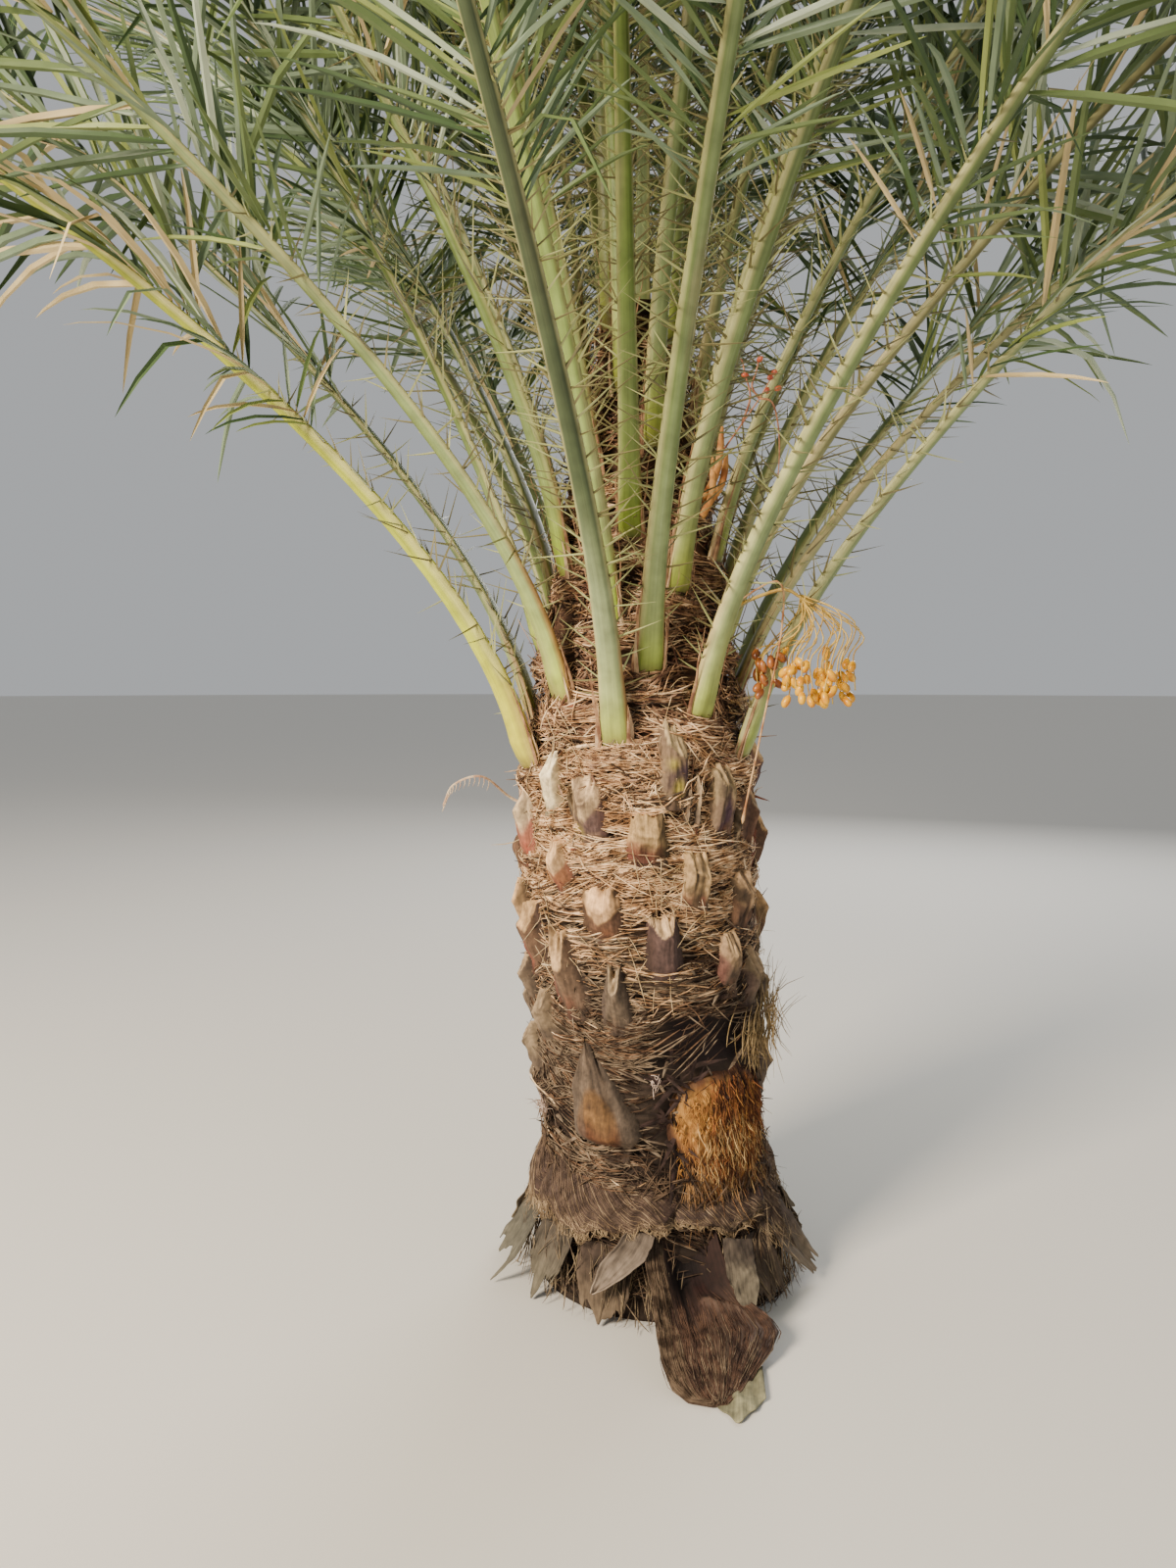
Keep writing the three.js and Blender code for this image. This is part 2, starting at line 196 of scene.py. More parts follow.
def ripple(p, seed, octaves=4):
    """Smooth noise from -1 to 1: sums of sines along random directions, each octave twice as fine."""
    draw = default_rng(seed)
    total, weight = 0.0, 0.0
    for octave in range(octaves):
        for _ in range(5):
            way = draw.normal(size=p.shape[-1])
            way *= 2 ** octave * draw.uniform(0.7, 1.4) / np.linalg.norm(way)
            total = total + np.sin(p @ way + draw.uniform(0, 6.283)) * 0.62 ** octave
            weight += 0.62 ** octave
    return total / weight * 2.2


def field(seed, octaves, *coordinates):
    """Smooth noise over a grid, as ripple at the point that the stretched coordinates give."""
    return ripple(np.stack(np.broadcast_arrays(*coordinates), -1), seed, octaves)


def tint(tone, colour, amount):
    """Lays a colour, or the colour of a hex code, over a tone by an amount from 0 to 1."""
    colour = linear(colour) if isinstance(colour, str) else colour
    return mix(tone, colour, np.asarray(amount)[..., None])


def add(tree, kind, links=None, stops=None, **settings):
    """Adds a node with its settings, its sockets' values or links, and a ramp's stops."""
    made = tree.nodes.new(kind)
    for key, value in settings.items():
        setattr(made, key, value)
    if stops:
        while len(made.color_ramp.elements) < len(stops):
            made.color_ramp.elements.new(0.5)
        for element, (place, code) in zip(made.color_ramp.elements, stops):
            element.position, element.color = place, paint(code)
    for key, value in (links or {}).items():
        if isinstance(value, bpy.types.NodeSocket):
            tree.links.new(value, made.inputs[key])
        else:
            made.inputs[key].default_value = value
    return made


def new_material(name):
    """An empty material, with its tree and its output node."""
    made = bpy.data.materials.new(name)
    made.use_nodes = True
    made.node_tree.nodes.clear()
    return made, made.node_tree, made.node_tree.nodes.new("ShaderNodeOutputMaterial")


def make_piece(name, shape, material, replaces=(), colours=None, uv=None, shaded_smooth=True):
    """A mesh from whole arrays: its shape is points (n, 3), and faces as arrays of equal numbers of
    corners. It may carry a tone and a map place for each point."""
    points, faces = shape
    faces = [np.asarray(f).reshape(-1, f.shape[-1]) for f in faces if len(f)]
    sizes = np.concatenate([np.full(len(f), f.shape[1]) for f in faces])
    corners = np.concatenate([f.ravel() for f in faces])
    mesh = bpy.data.meshes.new(name)
    mesh.vertices.add(len(points))
    mesh.vertices.foreach_set("co", np.asarray(points, np.float32).ravel())
    mesh.loops.add(len(corners))
    mesh.loops.foreach_set("vertex_index", corners.astype(np.int32))
    mesh.polygons.add(len(sizes))
    starts = np.concatenate([[0], np.cumsum(sizes)[:-1]])
    mesh.polygons.foreach_set("loop_start", starts.astype(np.int32))
    mesh.polygons.foreach_set("use_smooth", np.full(len(sizes), shaded_smooth))
    if uv is not None:
        layer = mesh.uv_layers.new(name="UVMap")
        layer.data.foreach_set("uv", uv[corners].astype(np.float32).ravel())
    if colours is not None:
        layer = mesh.color_attributes.new("tone", "FLOAT_COLOR", "POINT")
        rgba = np.concatenate([colours, np.ones((len(colours), 1))], 1)
        layer.data.foreach_set("color", rgba.astype(np.float32).ravel())
    mesh.update(calc_edges=True)
    mesh.validate()
    made = bpy.data.objects.new(name, mesh)
    bpy.context.scene.collection.objects.link(made)
    mesh.materials.append(material)
    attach(made, "root")
    if replaces:
        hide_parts(*replaces)
    return made


def grid_faces(rows, columns, wrap=False):
    """The quads of a grid of points, row by row. A wrapped grid joins its last column to its first."""
    i, j = np.meshgrid(np.arange(rows - 1), np.arange(columns if wrap else columns - 1), indexing="ij")
    k = (j + 1) % columns
    return np.stack([i * columns + j, i * columns + k, (i + 1) * columns + k, (i + 1) * columns + j], -1)


def tubes(path, up, half_width, half_depth, sides=3):
    """Closed thin tubes along many paths (n, m, 3), each ring flattened towards up."""
    n, m = path.shape[:2]
    ahead = unit(np.gradient(path, axis=1))
    up = np.broadcast_to(up, path.shape)
    across = unit(np.cross(ahead, up))
    over = np.cross(across, ahead)
    turn = np.arange(sides) * 2 * math.pi / sides + math.pi / 2
    w = np.broadcast_to(half_width, (n, m))[..., None, None]
    d = np.broadcast_to(half_depth, (n, m))[..., None, None]
    ring = (path[:, :, None] + across[:, :, None] * w * np.cos(turn)[:, None]
            + over[:, :, None] * d * np.sin(turn)[:, None])
    base = (np.arange(n) * m * sides)[:, None, None, None]
    quads = (grid_faces(m, sides, wrap=True)[None] + base).reshape(-1, 4)[:, ::-1]
    first = base.reshape(-1, 1) + np.arange(sides)
    caps = np.concatenate([first, (first + (m - 1) * sides)[:, ::-1]])
    return ring.reshape(-1, 3), [quads, caps]


def joined(parts):
    """Several sets of points and faces as one, with the faces renumbered."""
    points, by_size, start = [], {}, 0
    for some, faces in parts:
        points.append(some.reshape(-1, 3))
        for f in faces:
            by_size.setdefault(f.shape[-1], []).append(f.reshape(-1, f.shape[-1]) + start)
        start += len(points[-1])
    return np.concatenate(points), [np.concatenate(f) for f in by_size.values()]


def add_toned(name, made, material, replaces=()):
    """Joins shapes, each given as its points, faces, tone and map, into one piece."""
    tone, uv = [np.concatenate([one[k].reshape(-1, one[k].shape[-1]) for one in made]) for k in (2, 3)]
    return make_piece(name, joined([one[:2] for one in made]), material, replaces, tone, uv)


# Materials

def leaf_material(name, code, dark, roughness=0.46):
    """Grown date palm leaflet or spine: stiff, waxy and finely ribbed. The wax gives a broad soft
    shine, patches 60 mm across shift the green a little, and relief 4.5 mm across breaks the
    shine. The real ribs are under 1 mm apart, too fine to show, so these are coarser."""
    made, tree, out = new_material(name)
    place = add(tree, "ShaderNodeTexCoord").outputs["Object"]
    patches = add(tree, "ShaderNodeTexNoise", {"Vector": place, "Scale": 16.0, "Detail": 2.0})
    colour = add(tree, "ShaderNodeMix", {
        "Factor": patches.outputs["Fac"], "A": paint(dark), "B": paint(code)}, data_type="RGBA")
    ribs = add(tree, "ShaderNodeTexNoise", {"Vector": place, "Scale": 220.0, "Detail": 1.0})
    bump = add(tree, "ShaderNodeBump", {
        "Height": ribs.outputs["Fac"], "Strength": 0.25, "Distance": 0.0006})
    skin = add(tree, "ShaderNodeBsdfPrincipled", {
        "Base Color": colour.outputs["Result"], "Roughness": roughness, "IOR": 1.45,
        "Specular IOR Level": 0.5, "Normal": bump.outputs["Normal"]})
    tree.links.new(skin.outputs["BSDF"], out.inputs["Surface"])
    return made


def fibre_material(name, code, dark, roughness):
    """Dry palm fibre or stalk: weathered and matt. Stretches 26 mm long drift from light to dark
    along each strand, and a grain of 1.4 mm keeps any shine broken."""
    made, tree, out = new_material(name)
    place = add(tree, "ShaderNodeTexCoord").outputs["Object"]
    drift = add(tree, "ShaderNodeTexNoise", {"Vector": place, "Scale": 38.0, "Detail": 3.0})
    ramp = add(tree, "ShaderNodeValToRGB", {"Fac": drift.outputs["Fac"]}, stops=[(0.38, dark), (0.60, code)])
    grain = add(tree, "ShaderNodeTexNoise", {"Vector": place, "Scale": 700.0, "Detail": 1.0})
    bump = add(tree, "ShaderNodeBump", {
        "Height": grain.outputs["Fac"], "Strength": 0.4, "Distance": 0.0005})
    skin = add(tree, "ShaderNodeBsdfPrincipled", {
        "Base Color": ramp.outputs["Color"], "Roughness": roughness, "IOR": 1.45,
        "Specular IOR Level": 0.3, "Normal": bump.outputs["Normal"]})
    tree.links.new(skin.outputs["BSDF"], out.inputs["Surface"])
    return made


def toned_material(name, stretch, contrast, roughness, bump_mm, fine=1.0):
    """A grown surface whose colour comes from the piece's own tone attribute, with streaks along its
    UV map that lighten and darken it and stand up by bump_mm. Stretch is how many streaks lie in
    one unit across and along, and spots 38 mm across, or finer by the last value, vary it."""
    made, tree, out = new_material(name)
    tone = add(tree, "ShaderNodeVertexColor", layer_name="tone").outputs["Color"]
    uv = add(tree, "ShaderNodeUVMap", uv_map="UVMap").outputs["UV"]
    place = add(tree, "ShaderNodeMapping", {"Vector": uv, "Scale": (*stretch, 1.0)}).outputs["Vector"]
    streaks = add(tree, "ShaderNodeTexNoise", {
        "Vector": place, "Scale": 1.0, "Detail": 5.0, "Roughness": 0.62})
    spots = add(tree, "ShaderNodeTexNoise", {
        "Vector": add(tree, "ShaderNodeTexCoord").outputs["Object"], "Scale": 26.0 * fine, "Detail": 4.0})
    both = add(tree, "ShaderNodeMath", {0: streaks.outputs["Fac"], 1: spots.outputs["Fac"]}, operation="ADD")
    value = add(tree, "ShaderNodeMapRange", {
        "Value": both.outputs["Value"], "From Min": 0.7, "From Max": 1.3,
        "To Min": 1 - contrast, "To Max": 1 + contrast})
    colour = add(tree, "ShaderNodeMix", {
        "Factor": 1.0, "A": tone, "B": add(tree, "ShaderNodeCombineColor", {
            "Red": value.outputs["Result"], "Green": value.outputs["Result"],
            "Blue": value.outputs["Result"]}).outputs["Color"]},
        data_type="RGBA", blend_type="MULTIPLY")
    bump = add(tree, "ShaderNodeBump", {
        "Height": streaks.outputs["Fac"], "Strength": 0.6, "Distance": bump_mm / 1000})
    skin = add(tree, "ShaderNodeBsdfPrincipled", {
        "Base Color": colour.outputs["Result"], "Roughness": roughness, "IOR": 1.45,
        "Specular IOR Level": 0.4, "Normal": bump.outputs["Normal"]})
    tree.links.new(skin.outputs["BSDF"], out.inputs["Surface"])
    return made


# Fronds

def frond_form(n):
    """The sizes and angles of frond n, by the spiral rule and its own departures: each frond stands
    137.7 degrees further round and a little higher than the last, more upright and less arched."""
    azimuth = FIRST_AZIMUTH + DIVERGENCE * n
    base, turned, lean, arch = DEPARTURES.get(n, (0, 0, 0, 0))
    inner = max(0, n - OWN_FRONDS + 1)
    return {
        "n": n,
        "z": FIRST_HEIGHT + FROND_RISE * n + FROND_RISE_GROWTH * n * n,
        "azimuth": azimuth + base,
        "heading": azimuth + turned,
        "lean": BASE_LEAN - UPPER_LEAN_LOSS * max(0, n - UPPER_FROM) + lean - INNER_LEAN_LOSS * inner,
        "arch": max(0, ARCH - ARCH_LOSS * n + arch),
        "droop": DROOP - DROOP_LOSS * n,
        "length": (FROND_LENGTH + LENGTH_SWELL * math.sin(math.pi * (n + 2) / ALL_FRONDS)
                   - INNER_LENGTH_LOSS * inner),
        "petiole": PETIOLE_LENGTH + PETIOLE_GROWTH * n + LONGER_STALKS.get(n, 0),
    }


def frond_directions(form, s):
    """Ahead, underneath and sideways at stations s of a frond's rib: its lean from upright is
    lean + arch (1 - e^(-s/reach)) + droop (s/length)^3, and its heading turns smoothly to its own."""
    azimuth = mix(form["azimuth"], form["heading"], smooth(s, 0, TURN_REACH))
    lean = np.radians(form["lean"] + form["arch"] * (1 - np.exp(-s / ARCH_REACH))
                      + form["droop"] * (s / form["length"]) ** 3)[:, None]
    out, up = heading(azimuth), np.array([0, 0, 1.0])
    ahead = out * np.sin(lean) + up * np.cos(lean)
    return ahead, out * np.cos(lean) - up * np.sin(lean), heading(azimuth + 90)


def frond_line(form):
    """The inner ridge of a frond's rib: its points are the sum of short steps along its direction,
    from a foot that is 4 mm off the trunk."""
    s = np.linspace(0, form["length"], LINE_POINTS)
    fine = np.linspace(0, form["length"], LINE_STEPS * (LINE_POINTS - 1) + 1)
    middle = (fine[1:] + fine[:-1]) / 2
    steps = frond_directions(form, middle)[0] * np.diff(fine)[:, None]
    walked = np.concatenate([np.zeros((1, 3)), np.cumsum(steps, 0)])[::LINE_STEPS]
    ahead, under, side = frond_directions(form, s)
    return {"s": s, "point": on_trunk(form["azimuth"], form["z"], 0.004) + walked,
            "ahead": ahead, "under": under, "side": side}


def at(line, s):
    """Points and directions of a frond's line at any stations."""
    return {key: np.stack([np.interp(s, line["s"], line[key][:, i]) for i in range(3)], -1)
            for key in ("point", "ahead", "under", "side")}


# How far along a rib of 3.3 m, and half its width there.
RIB_WIDTHS = np.array([
    (0, 0.0345), (0.05, 0.0315), (0.15, 0.0268), (0.4, 0.0218), (0.8, 0.0176), (1.4, 0.0125),
    (2.2, 0.0075), (3.3, 0.003),
]).T
RIB_LENGTH = 3.3
RIB_DEPTHS = (0.035, 0.004)
RIB_LOSS = 0.0065


def rib_half_width(s, form):
    """Half the rib's width: from 35 mm at the base it falls fast to 22 mm after 0.4 m, then slowly to
    3 mm at the tip. The inner fronds' ribs are narrower, by 0.65 % of it for each frond."""
    return np.interp(s / form["length"] * RIB_LENGTH, *RIB_WIDTHS) * (1 - RIB_LOSS * form["n"])


# The rib's section: across from edge to edge, below from the inner face. The inner face is nearly
# flat and meets the round underside in sharp edges.
RIB_SECTION = np.array([
    (1.0, 0.16), (0.82, 0.05), (0.45, 0.0), (0.0, -0.03), (-0.45, 0.0), (-0.82, 0.05), (-1.0, 0.16),
    (-0.95, 0.42), (-0.78, 0.72), (-0.48, 0.93), (0.0, 1.0), (0.48, 0.93), (0.78, 0.72), (0.95, 0.42),
])


def rib(form, line):
    """A frond's stalk and rib: the section carried along its line, with a foot that goes 90 mm down
    inside the fibre and widens there into its sheath. Its depth falls with the root of the share
    of its length. Its map runs round it and along it, in its own place for each frond."""
    foot = np.array([-0.09, -0.05, -0.02])
    s = np.concatenate([foot, np.linspace(0, 0.2, 7), np.linspace(0.25, form["length"], 40)])
    row = at(line, np.maximum(s, 0))
    below = np.minimum(s, 0)[:, None]
    point = row["point"] + row["ahead"] * below + heading(form["azimuth"]) * below * 0.28
    half = rib_half_width(np.maximum(s, 0), form) * (1 + 1.2 * np.maximum(-s, 0))
    depth = mix(*RIB_DEPTHS, np.clip(s / form["length"], 0, 1) ** 0.5) * (1 - RIB_LOSS * form["n"])
    depth = depth * mix(0.2, 1, smooth(s, -0.06, 0.07)) * THICKER_RIBS.get(form["n"], 1)
    across, down = RIB_SECTION.T
    ring = (point[:, None] + row["side"][:, None] * (half[:, None] * across)[..., None]
            + row["under"][:, None] * (depth[:, None] * down)[..., None])
    count = len(RIB_SECTION)
    quads = grid_faces(len(s), count, wrap=True)
    caps = np.arange(count)
    caps = np.stack([caps, caps + (len(s) - 1) * count])
    caps[0] = caps[0][::-1]
    u = np.arange(count) / count + form["n"] * 3.17
    uv = np.stack(np.broadcast_arrays(u[None], s[:, None] + form["n"] * 1.7), -1)
    return ring, [quads, caps], rib_colours(form, s, across), uv


forms = [frond_form(n) for n in range(ALL_FRONDS)]
lines = [frond_line(form) for form in forms]

# Frond number: where its rib starts and ends to darken upwards, painted shade, and what is left of its tone
# there.
RIB_PAINTED_SHADES = {3: (0.15, 0.75, 0.36), 6: (0.3, 1.2, 0.5), 9: (0.2, 1.3, 0.5)}
PLAIN_RIB_PAINTED_SHADE = (0.25, 1.5, 0.5)
# Frond number: how strong the grey wax is above its foot, and on the rest of it.
FOOT_WAX = {0: 0.0, 3: 0.5}
PLAIN_FOOT_WAX = 0.28
BODY_WAX = {0: 0.1}
# Frond number: the colours of its foot, its body and its edges, and how far the brown edge runs up.
RIB_TONES = {
    0: ("#CCC637", "#BCC63A", "#B8A45C", 0.25), 1: ("#8D9F45", "#768849", "#B0A878", 0.2),
    3: ("#A0AB4C", "#64764E", "#A9764A", 0.30), 6: ("#99A64C", "#728648", "#B58A5E", 0.35),
    8: ("#A8B845", "#7D904B", "#A8703F", 0.45), 9: ("#8C9443", "#989563", "#B08A66", 0.9),
    11: ("#86963C", "#728648", "#A06A44", 0.4), 14: ("#9FA848", "#93925F", "#C0A080", 0.9),
    16: ("#9DB43E", "#819548", "#B09060", 0.2), 21: ("#97AC30", "#778C3F", "#A08050", 0.2),
    24: ("#8FA633", "#72883C", "#A08050", 0.2), 27: ("#A6AC3A", "#7E9048", "#C08040", 0.3),
    32: ("#A6B43E", "#80904F", "#A07848", 0.3),
}
PLAIN_RIB_TONES = ("#929F3F", "#6D7F44", "#A88A64", 0.3)
RIB_WAX, RIB_DULL_WAX, RIB_BLOTCH = "#A4AE80", "#8C9C70", "#8E8464"
RIB_BRUISE, RIB_PALE_EDGE = "#6E5A42", "#C6BE86"


def rib_colours(form, s, across):
    """A rib's tone: the foot's yellow-green fades into the body over 0.2 to 0.4 m, and the body
    darkens upwards, painted shade. Grey wax lies above the foot and in long bands, with grey-brown
    blotches, and both thin out where the rib is painted dark. The lowest 30 mm is bruised. The edges
    are brown below and pale above, and the left edge is pale all the way up."""
    n = form["n"]
    turn = default_rng(100 + n)
    foot, body, edge, reach = RIB_TONES.get(n, PLAIN_RIB_TONES)
    body = linear(body)
    if n not in RIB_TONES:
        body = body * turn.uniform(0.85, 1.12) * np.array([1, 1, turn.uniform(0.85, 1.15)])
    yellow = 1 - smooth(s, 0.02, turn.uniform(0.22, 0.42))
    low, high, left = RIB_PAINTED_SHADES.get(n, PLAIN_RIB_PAINTED_SHADE)
    # Painted shade: the body darkens from low to high along the rib.
    tone = tint(body * mix(0.92, left, smooth(s, low, high))[:, None], foot, yellow)
    tone = tone[:, None] * np.ones((1, len(across), 1))
    along = s[:, None]
    streaks = field(130 + n, 3, across * 5 + n, along * 2.2, n)
    tone = tone * (1 + 0.26 * streaks)[..., None]
    bands = field(150 + n, 2, across * 2.4 + n, along * 0.5, n * 2.7)
    wax = FOOT_WAX.get(n, PLAIN_FOOT_WAX) * smooth(s, 0.03, 0.14) * (1 - smooth(s, 0.22, 0.6))
    tone = tint(tone, RIB_WAX, wax[:, None])
    # lit is what the painted shade leaves of the rib's tone, times its wax: wax and blotches thin out where
    # the rib is painted dark.
    lit = (1 - 0.85 * smooth(s, low, high) * (n in RIB_PAINTED_SHADES))[:, None] * BODY_WAX.get(n, 1)
    dull = 0.48 * smooth(bands + 0.3 * streaks, -0.15, 0.5) * smooth(s, 0.05, 0.3)[:, None] * lit
    tone = tint(tone, RIB_DULL_WAX, dull)
    blotch = field(160 + n, 4, across * 1.6 + n, along * 5, n * 1.9)
    tone = tint(tone, RIB_BLOTCH, 0.5 * smooth(blotch, 0.35, 0.8) * lit)
    bruise = (1 - smooth(s + 0.02 * streaks.T[0], -0.01, 0.045))[:, None]
    tone = tint(tone, RIB_BRUISE, 0.8 * bruise)
    rim = smooth(np.abs(across), 0.8, 1.0)[None, :]
    brown = rim * (1 - smooth(s, reach * 0.6, reach))[:, None]
    tone = tint(tone, edge, brown * 0.8)
    left_edge = smooth(-across, 0.66, 0.86)[None] * smooth(s, 0.03, 0.12)[:, None]
    pale = np.maximum(rim * smooth(s, reach * 0.7, reach)[:, None], left_edge)
    return tint(tone, RIB_PALE_EDGE, pale * 0.6)


# Date palm stalk: smooth, hard and waxy, with a soft shine and faint lengthwise streaks.
stalk_wax = toned_material("waxy_leaf_stalk", (22.0, 3.0), 0.30, 0.44, 0.8)


def frond_nodes(numbers):
    """The CAD nodes of some fronds. The inner ones share three sheaves."""
    if numbers[0] >= OWN_FRONDS:
        return ["inner_fronds_front", "inner_fronds_left", "inner_fronds_right"]
    names = []
    for n in numbers:
        label = f"frond_{n + 1:02d}"
        names += [label + "_stalk", label + "_blade"] if n < SPLIT_FRONDS else [label]
    return names


for name, numbers in [
    ("lower_frond_ribs", range(0, 12)), ("middle_frond_ribs", range(12, 24)),
    ("upper_frond_ribs", range(24, OWN_FRONDS)), ("inner_frond_ribs", range(OWN_FRONDS, ALL_FRONDS)),
]:
    add_toned(name, [rib(forms[n], lines[n]) for n in numbers], stalk_wax, frond_nodes(numbers))

# Spines: their least length, how much longer they get half way up, and how much more past frond 12.
SPINE_LENGTH, SPINE_SWELL, INNER_SPINE_SWELL, INNER_SPINES_FROM = 0.035, 0.085, 0.05, 12


def spines():
    """Stalk spines in ones and twos along both edges, from 35 mm to 120 mm long, and to 170 mm on the
    inner fronds, longest half way up the stalk. Each points forward and out. Gives the root,
    direction, length and half width of each."""
    start, way, length, width = [], [], [], []
    for form, line in zip(forms, lines):
        turn = default_rng(300 + form["n"])
        last = form["petiole"] + 0.1
        for hand in (-1, 1):
            s = np.cumsum(turn.uniform(0.018, 0.050, 70)) + 0.09
            s = s[s < last]
            s = np.concatenate([s, s[turn.random(len(s)) < 0.45] + 0.004])
            row = at(line, s)
            half = rib_half_width(s, form)
            root = row["point"] + row["side"] * (hand * half * 0.93)[:, None] + row["under"] * 0.006
            forward = np.radians(turn.uniform(40, 88, len(s)))[:, None]
            lift = np.radians(turn.normal(5, 34, len(s)))[:, None]
            out = row["side"] * hand * np.cos(lift) - row["under"] * np.sin(lift)
            start.append(root)
            way.append(row["ahead"] * np.cos(forward) + out * np.sin(forward))
            swelled = SPINE_SWELL + INNER_SPINE_SWELL * (form["n"] > INNER_SPINES_FROM)
            share = np.clip((s - 0.05) / (last - 0.05), 0, 1) ** 0.8
            size = SPINE_LENGTH + swelled * np.sin(np.pi * share)
            length.append(size * turn.uniform(0.7, 1.15, len(s)))
            width.append(turn.uniform(0.0019, 0.0030, len(s)))
    return [np.concatenate(v) for v in (start, way, length, width)]


# Each spine is a three-sided needle along three points, bent down by 1 mm at the middle one.
root, way, length, width = spines()
path = root[:, None] + way[:, None] * (length[:, None] * np.array([0.0, 0.45, 1.0]))[..., None]
path[:, 1] += [0, 0, -0.001]
thick = width[:, None] * np.array([1, 0.72, 0.06])
dark = default_rng(7).random(len(root)) < 0.5
for name, chosen, material in [
    ("pale_spines", ~dark, leaf_material("green_spine_horn", "#B6B880", "#90965E", 0.4)),
    ("brown_tipped_spines", dark, leaf_material("dried_spine_horn", "#90885C", "#585438", 0.4)),
]:
    needles = tubes(path[chosen], np.array([0.3, 0.2, 1.0]), thick[chosen], thick[chosen])
    make_piece(name, needles, material, shaded_smooth=False)


# Leaflets: how far along, the share of the full width there, and how steeply the V is folded.
LEAFLET_STATIONS = np.array([0, 0.05, 0.22, 0.48, 0.74, 0.92, 1.0])
LEAFLET_WIDTHS = np.array([0.42, 0.72, 1.0, 0.96, 0.7, 0.34, 0.03])
LEAFLET_FOLDS = np.array([1.25, 1.0, 0.62, 0.5, 0.48, 0.5, 0.6])
LEAFLET_SPACING = 0.0212
# The first leaflets stand this much below the stalk's end, and on the inner fronds more.
LEAFLETS_BELOW, INNER_LEAFLETS_BELOW = 0.12, 0.20
# The angles of the planes that groups of leaflets lie in.
LEAFLET_PLANES = [-36, -10, 14, 40, 64]
GREEN_SHARES = [0.3, 0.27, 0.2, 0.13, 0.1]
DRY_KIND = 5
UNKINKED = 2.0


def leaflets():
    """Leaflets along both sides of every rib, from the last spines to the tip, in loose groups of
    three or four that share a plane. Each has a foot, a direction, the way its fold opens, a
    length, a width, how far it sags, where it is kinked and by how much, and its kind."""
    rows = []
    for form, line in zip(forms, lines):
        n, last = form["n"], form["length"]
        turn = default_rng(500 + n)
        first = form["petiole"] - LEAFLETS_BELOW - INNER_LEAFLETS_BELOW * float(smooth(n, 9, 18))
        for hand in (-1, 1):
            count = int((last - first) / LEAFLET_SPACING)
            share = (np.arange(count) + turn.uniform(-0.3, 0.3, count)) / count - 0.125 / count
            group = np.floor(np.arange(count) / 3.4 + turn.uniform(0, 1))
            s = mix(first, last - 0.02, np.clip(share, 0, 1))
            u = np.clip((s - first) / (last - first), 0, 1)
            row = at(line, s)
            half = rib_half_width(s, form)
            plane = turn.choice(LEAFLET_PLANES, size=int(group.max()) + 2)[group.astype(int)]
            lift = np.radians((plane + turn.normal(0, 11, count)) * (1 - 0.5 * u))[:, None]
            forward = np.radians(mix(56, 24, u ** 0.9) + turn.normal(0, 9, count))[:, None]
            out = row["side"] * hand * np.cos(lift) - row["under"] * np.sin(lift)
            way = row["ahead"] * np.cos(forward) + out * np.sin(forward)
            opens = unit(-row["under"] * np.cos(lift) - row["side"] * hand * np.sin(lift)
                         + row["ahead"] * 0.25 + turn.normal(0, 0.28, (count, 3)))
            length = np.interp(u, [0, 0.06, 0.25, 0.55, 0.8, 1], [0.2, 0.38, 0.56, 0.52, 0.42, 0.24])
            length = length * turn.uniform(0.86, 1.1, count) * mix(1, 0.62, smooth(u, 0.8, 1))
            width = np.interp(u, [0, 0.08, 0.3, 0.7, 1], [0.010, 0.017, 0.0255, 0.024, 0.015])
            width = width * turn.uniform(0.85, 1.12, count)
            sag = turn.gamma(1.6, 0.09, count) + 0.14 * max(0, 1 - n / 20) + MORE_SAG.get(n, 0)
            kinked = turn.random(count) < (0.05 if n > 3 else 0.10)
            kink = np.where(kinked, turn.uniform(0.35, 0.75, count), UNKINKED)
            bend = np.where(kinked, turn.uniform(0.7, 2.2, count), 0)
            dry_share = np.interp(n, [0, 2, 3, 8, 20, 44], [0.30, 0.10, 0.04, 0.035, 0.015, 0.0])
            kind = turn.choice(len(GREEN_SHARES), count, p=GREEN_SHARES)
            kind = np.where(turn.random(count) < dry_share, DRY_KIND, kind)
            root = row["point"] + row["side"] * (hand * half * 0.8)[:, None] + row["under"] * 0.002
            rows.append(np.column_stack([root, way, opens, length, width, sag, kink, bend, kind]))
    return np.concatenate(rows)


def blades(rows):
    """Each leaflet as a folded ribbon: its direction turns towards the ground by sag t^1.6, and by
    bend past a kink. At each station its middle line is the bottom of a V between its two edges."""
    root, way, opens = rows[:, 0:3], rows[:, 3:6], rows[:, 6:9]
    length, width, sag, kink, bend = rows[:, 9:14].T
    t = LEAFLET_STATIONS
    kinked = smooth(t[None], kink[:, None] - 0.06, kink[:, None] + 0.1)
    weight = sag[:, None] * t ** 1.6 + bend[:, None] * kinked
    ahead = unit(way[:, None] + np.array([0, 0, -1.0]) * weight[..., None])
    steps = (ahead[:, 1:] + ahead[:, :-1]) / 2 * (length[:, None] * np.diff(t))[..., None]
    middle = root[:, None] + np.concatenate([np.zeros((len(root), 1, 3)), np.cumsum(steps, 1)], 1)
    across = unit(np.cross(ahead, opens[:, None]))
    up = np.cross(across, ahead)
    half = (width[:, None] * LEAFLET_WIDTHS / 2)[..., None]
    fold = LEAFLET_FOLDS[None, :, None]
    left = middle - across * half * np.cos(fold) + up * half * np.sin(fold)
    right = middle + across * half * np.cos(fold) + up * half * np.sin(fold)
    points = np.stack([left, middle, right], 2)
    base = (np.arange(len(root)) * len(t) * 3)[:, None, None, None]
    return points.reshape(-1, 3), [(grid_faces(len(t), 3)[None] + base).reshape(-1, 4)]


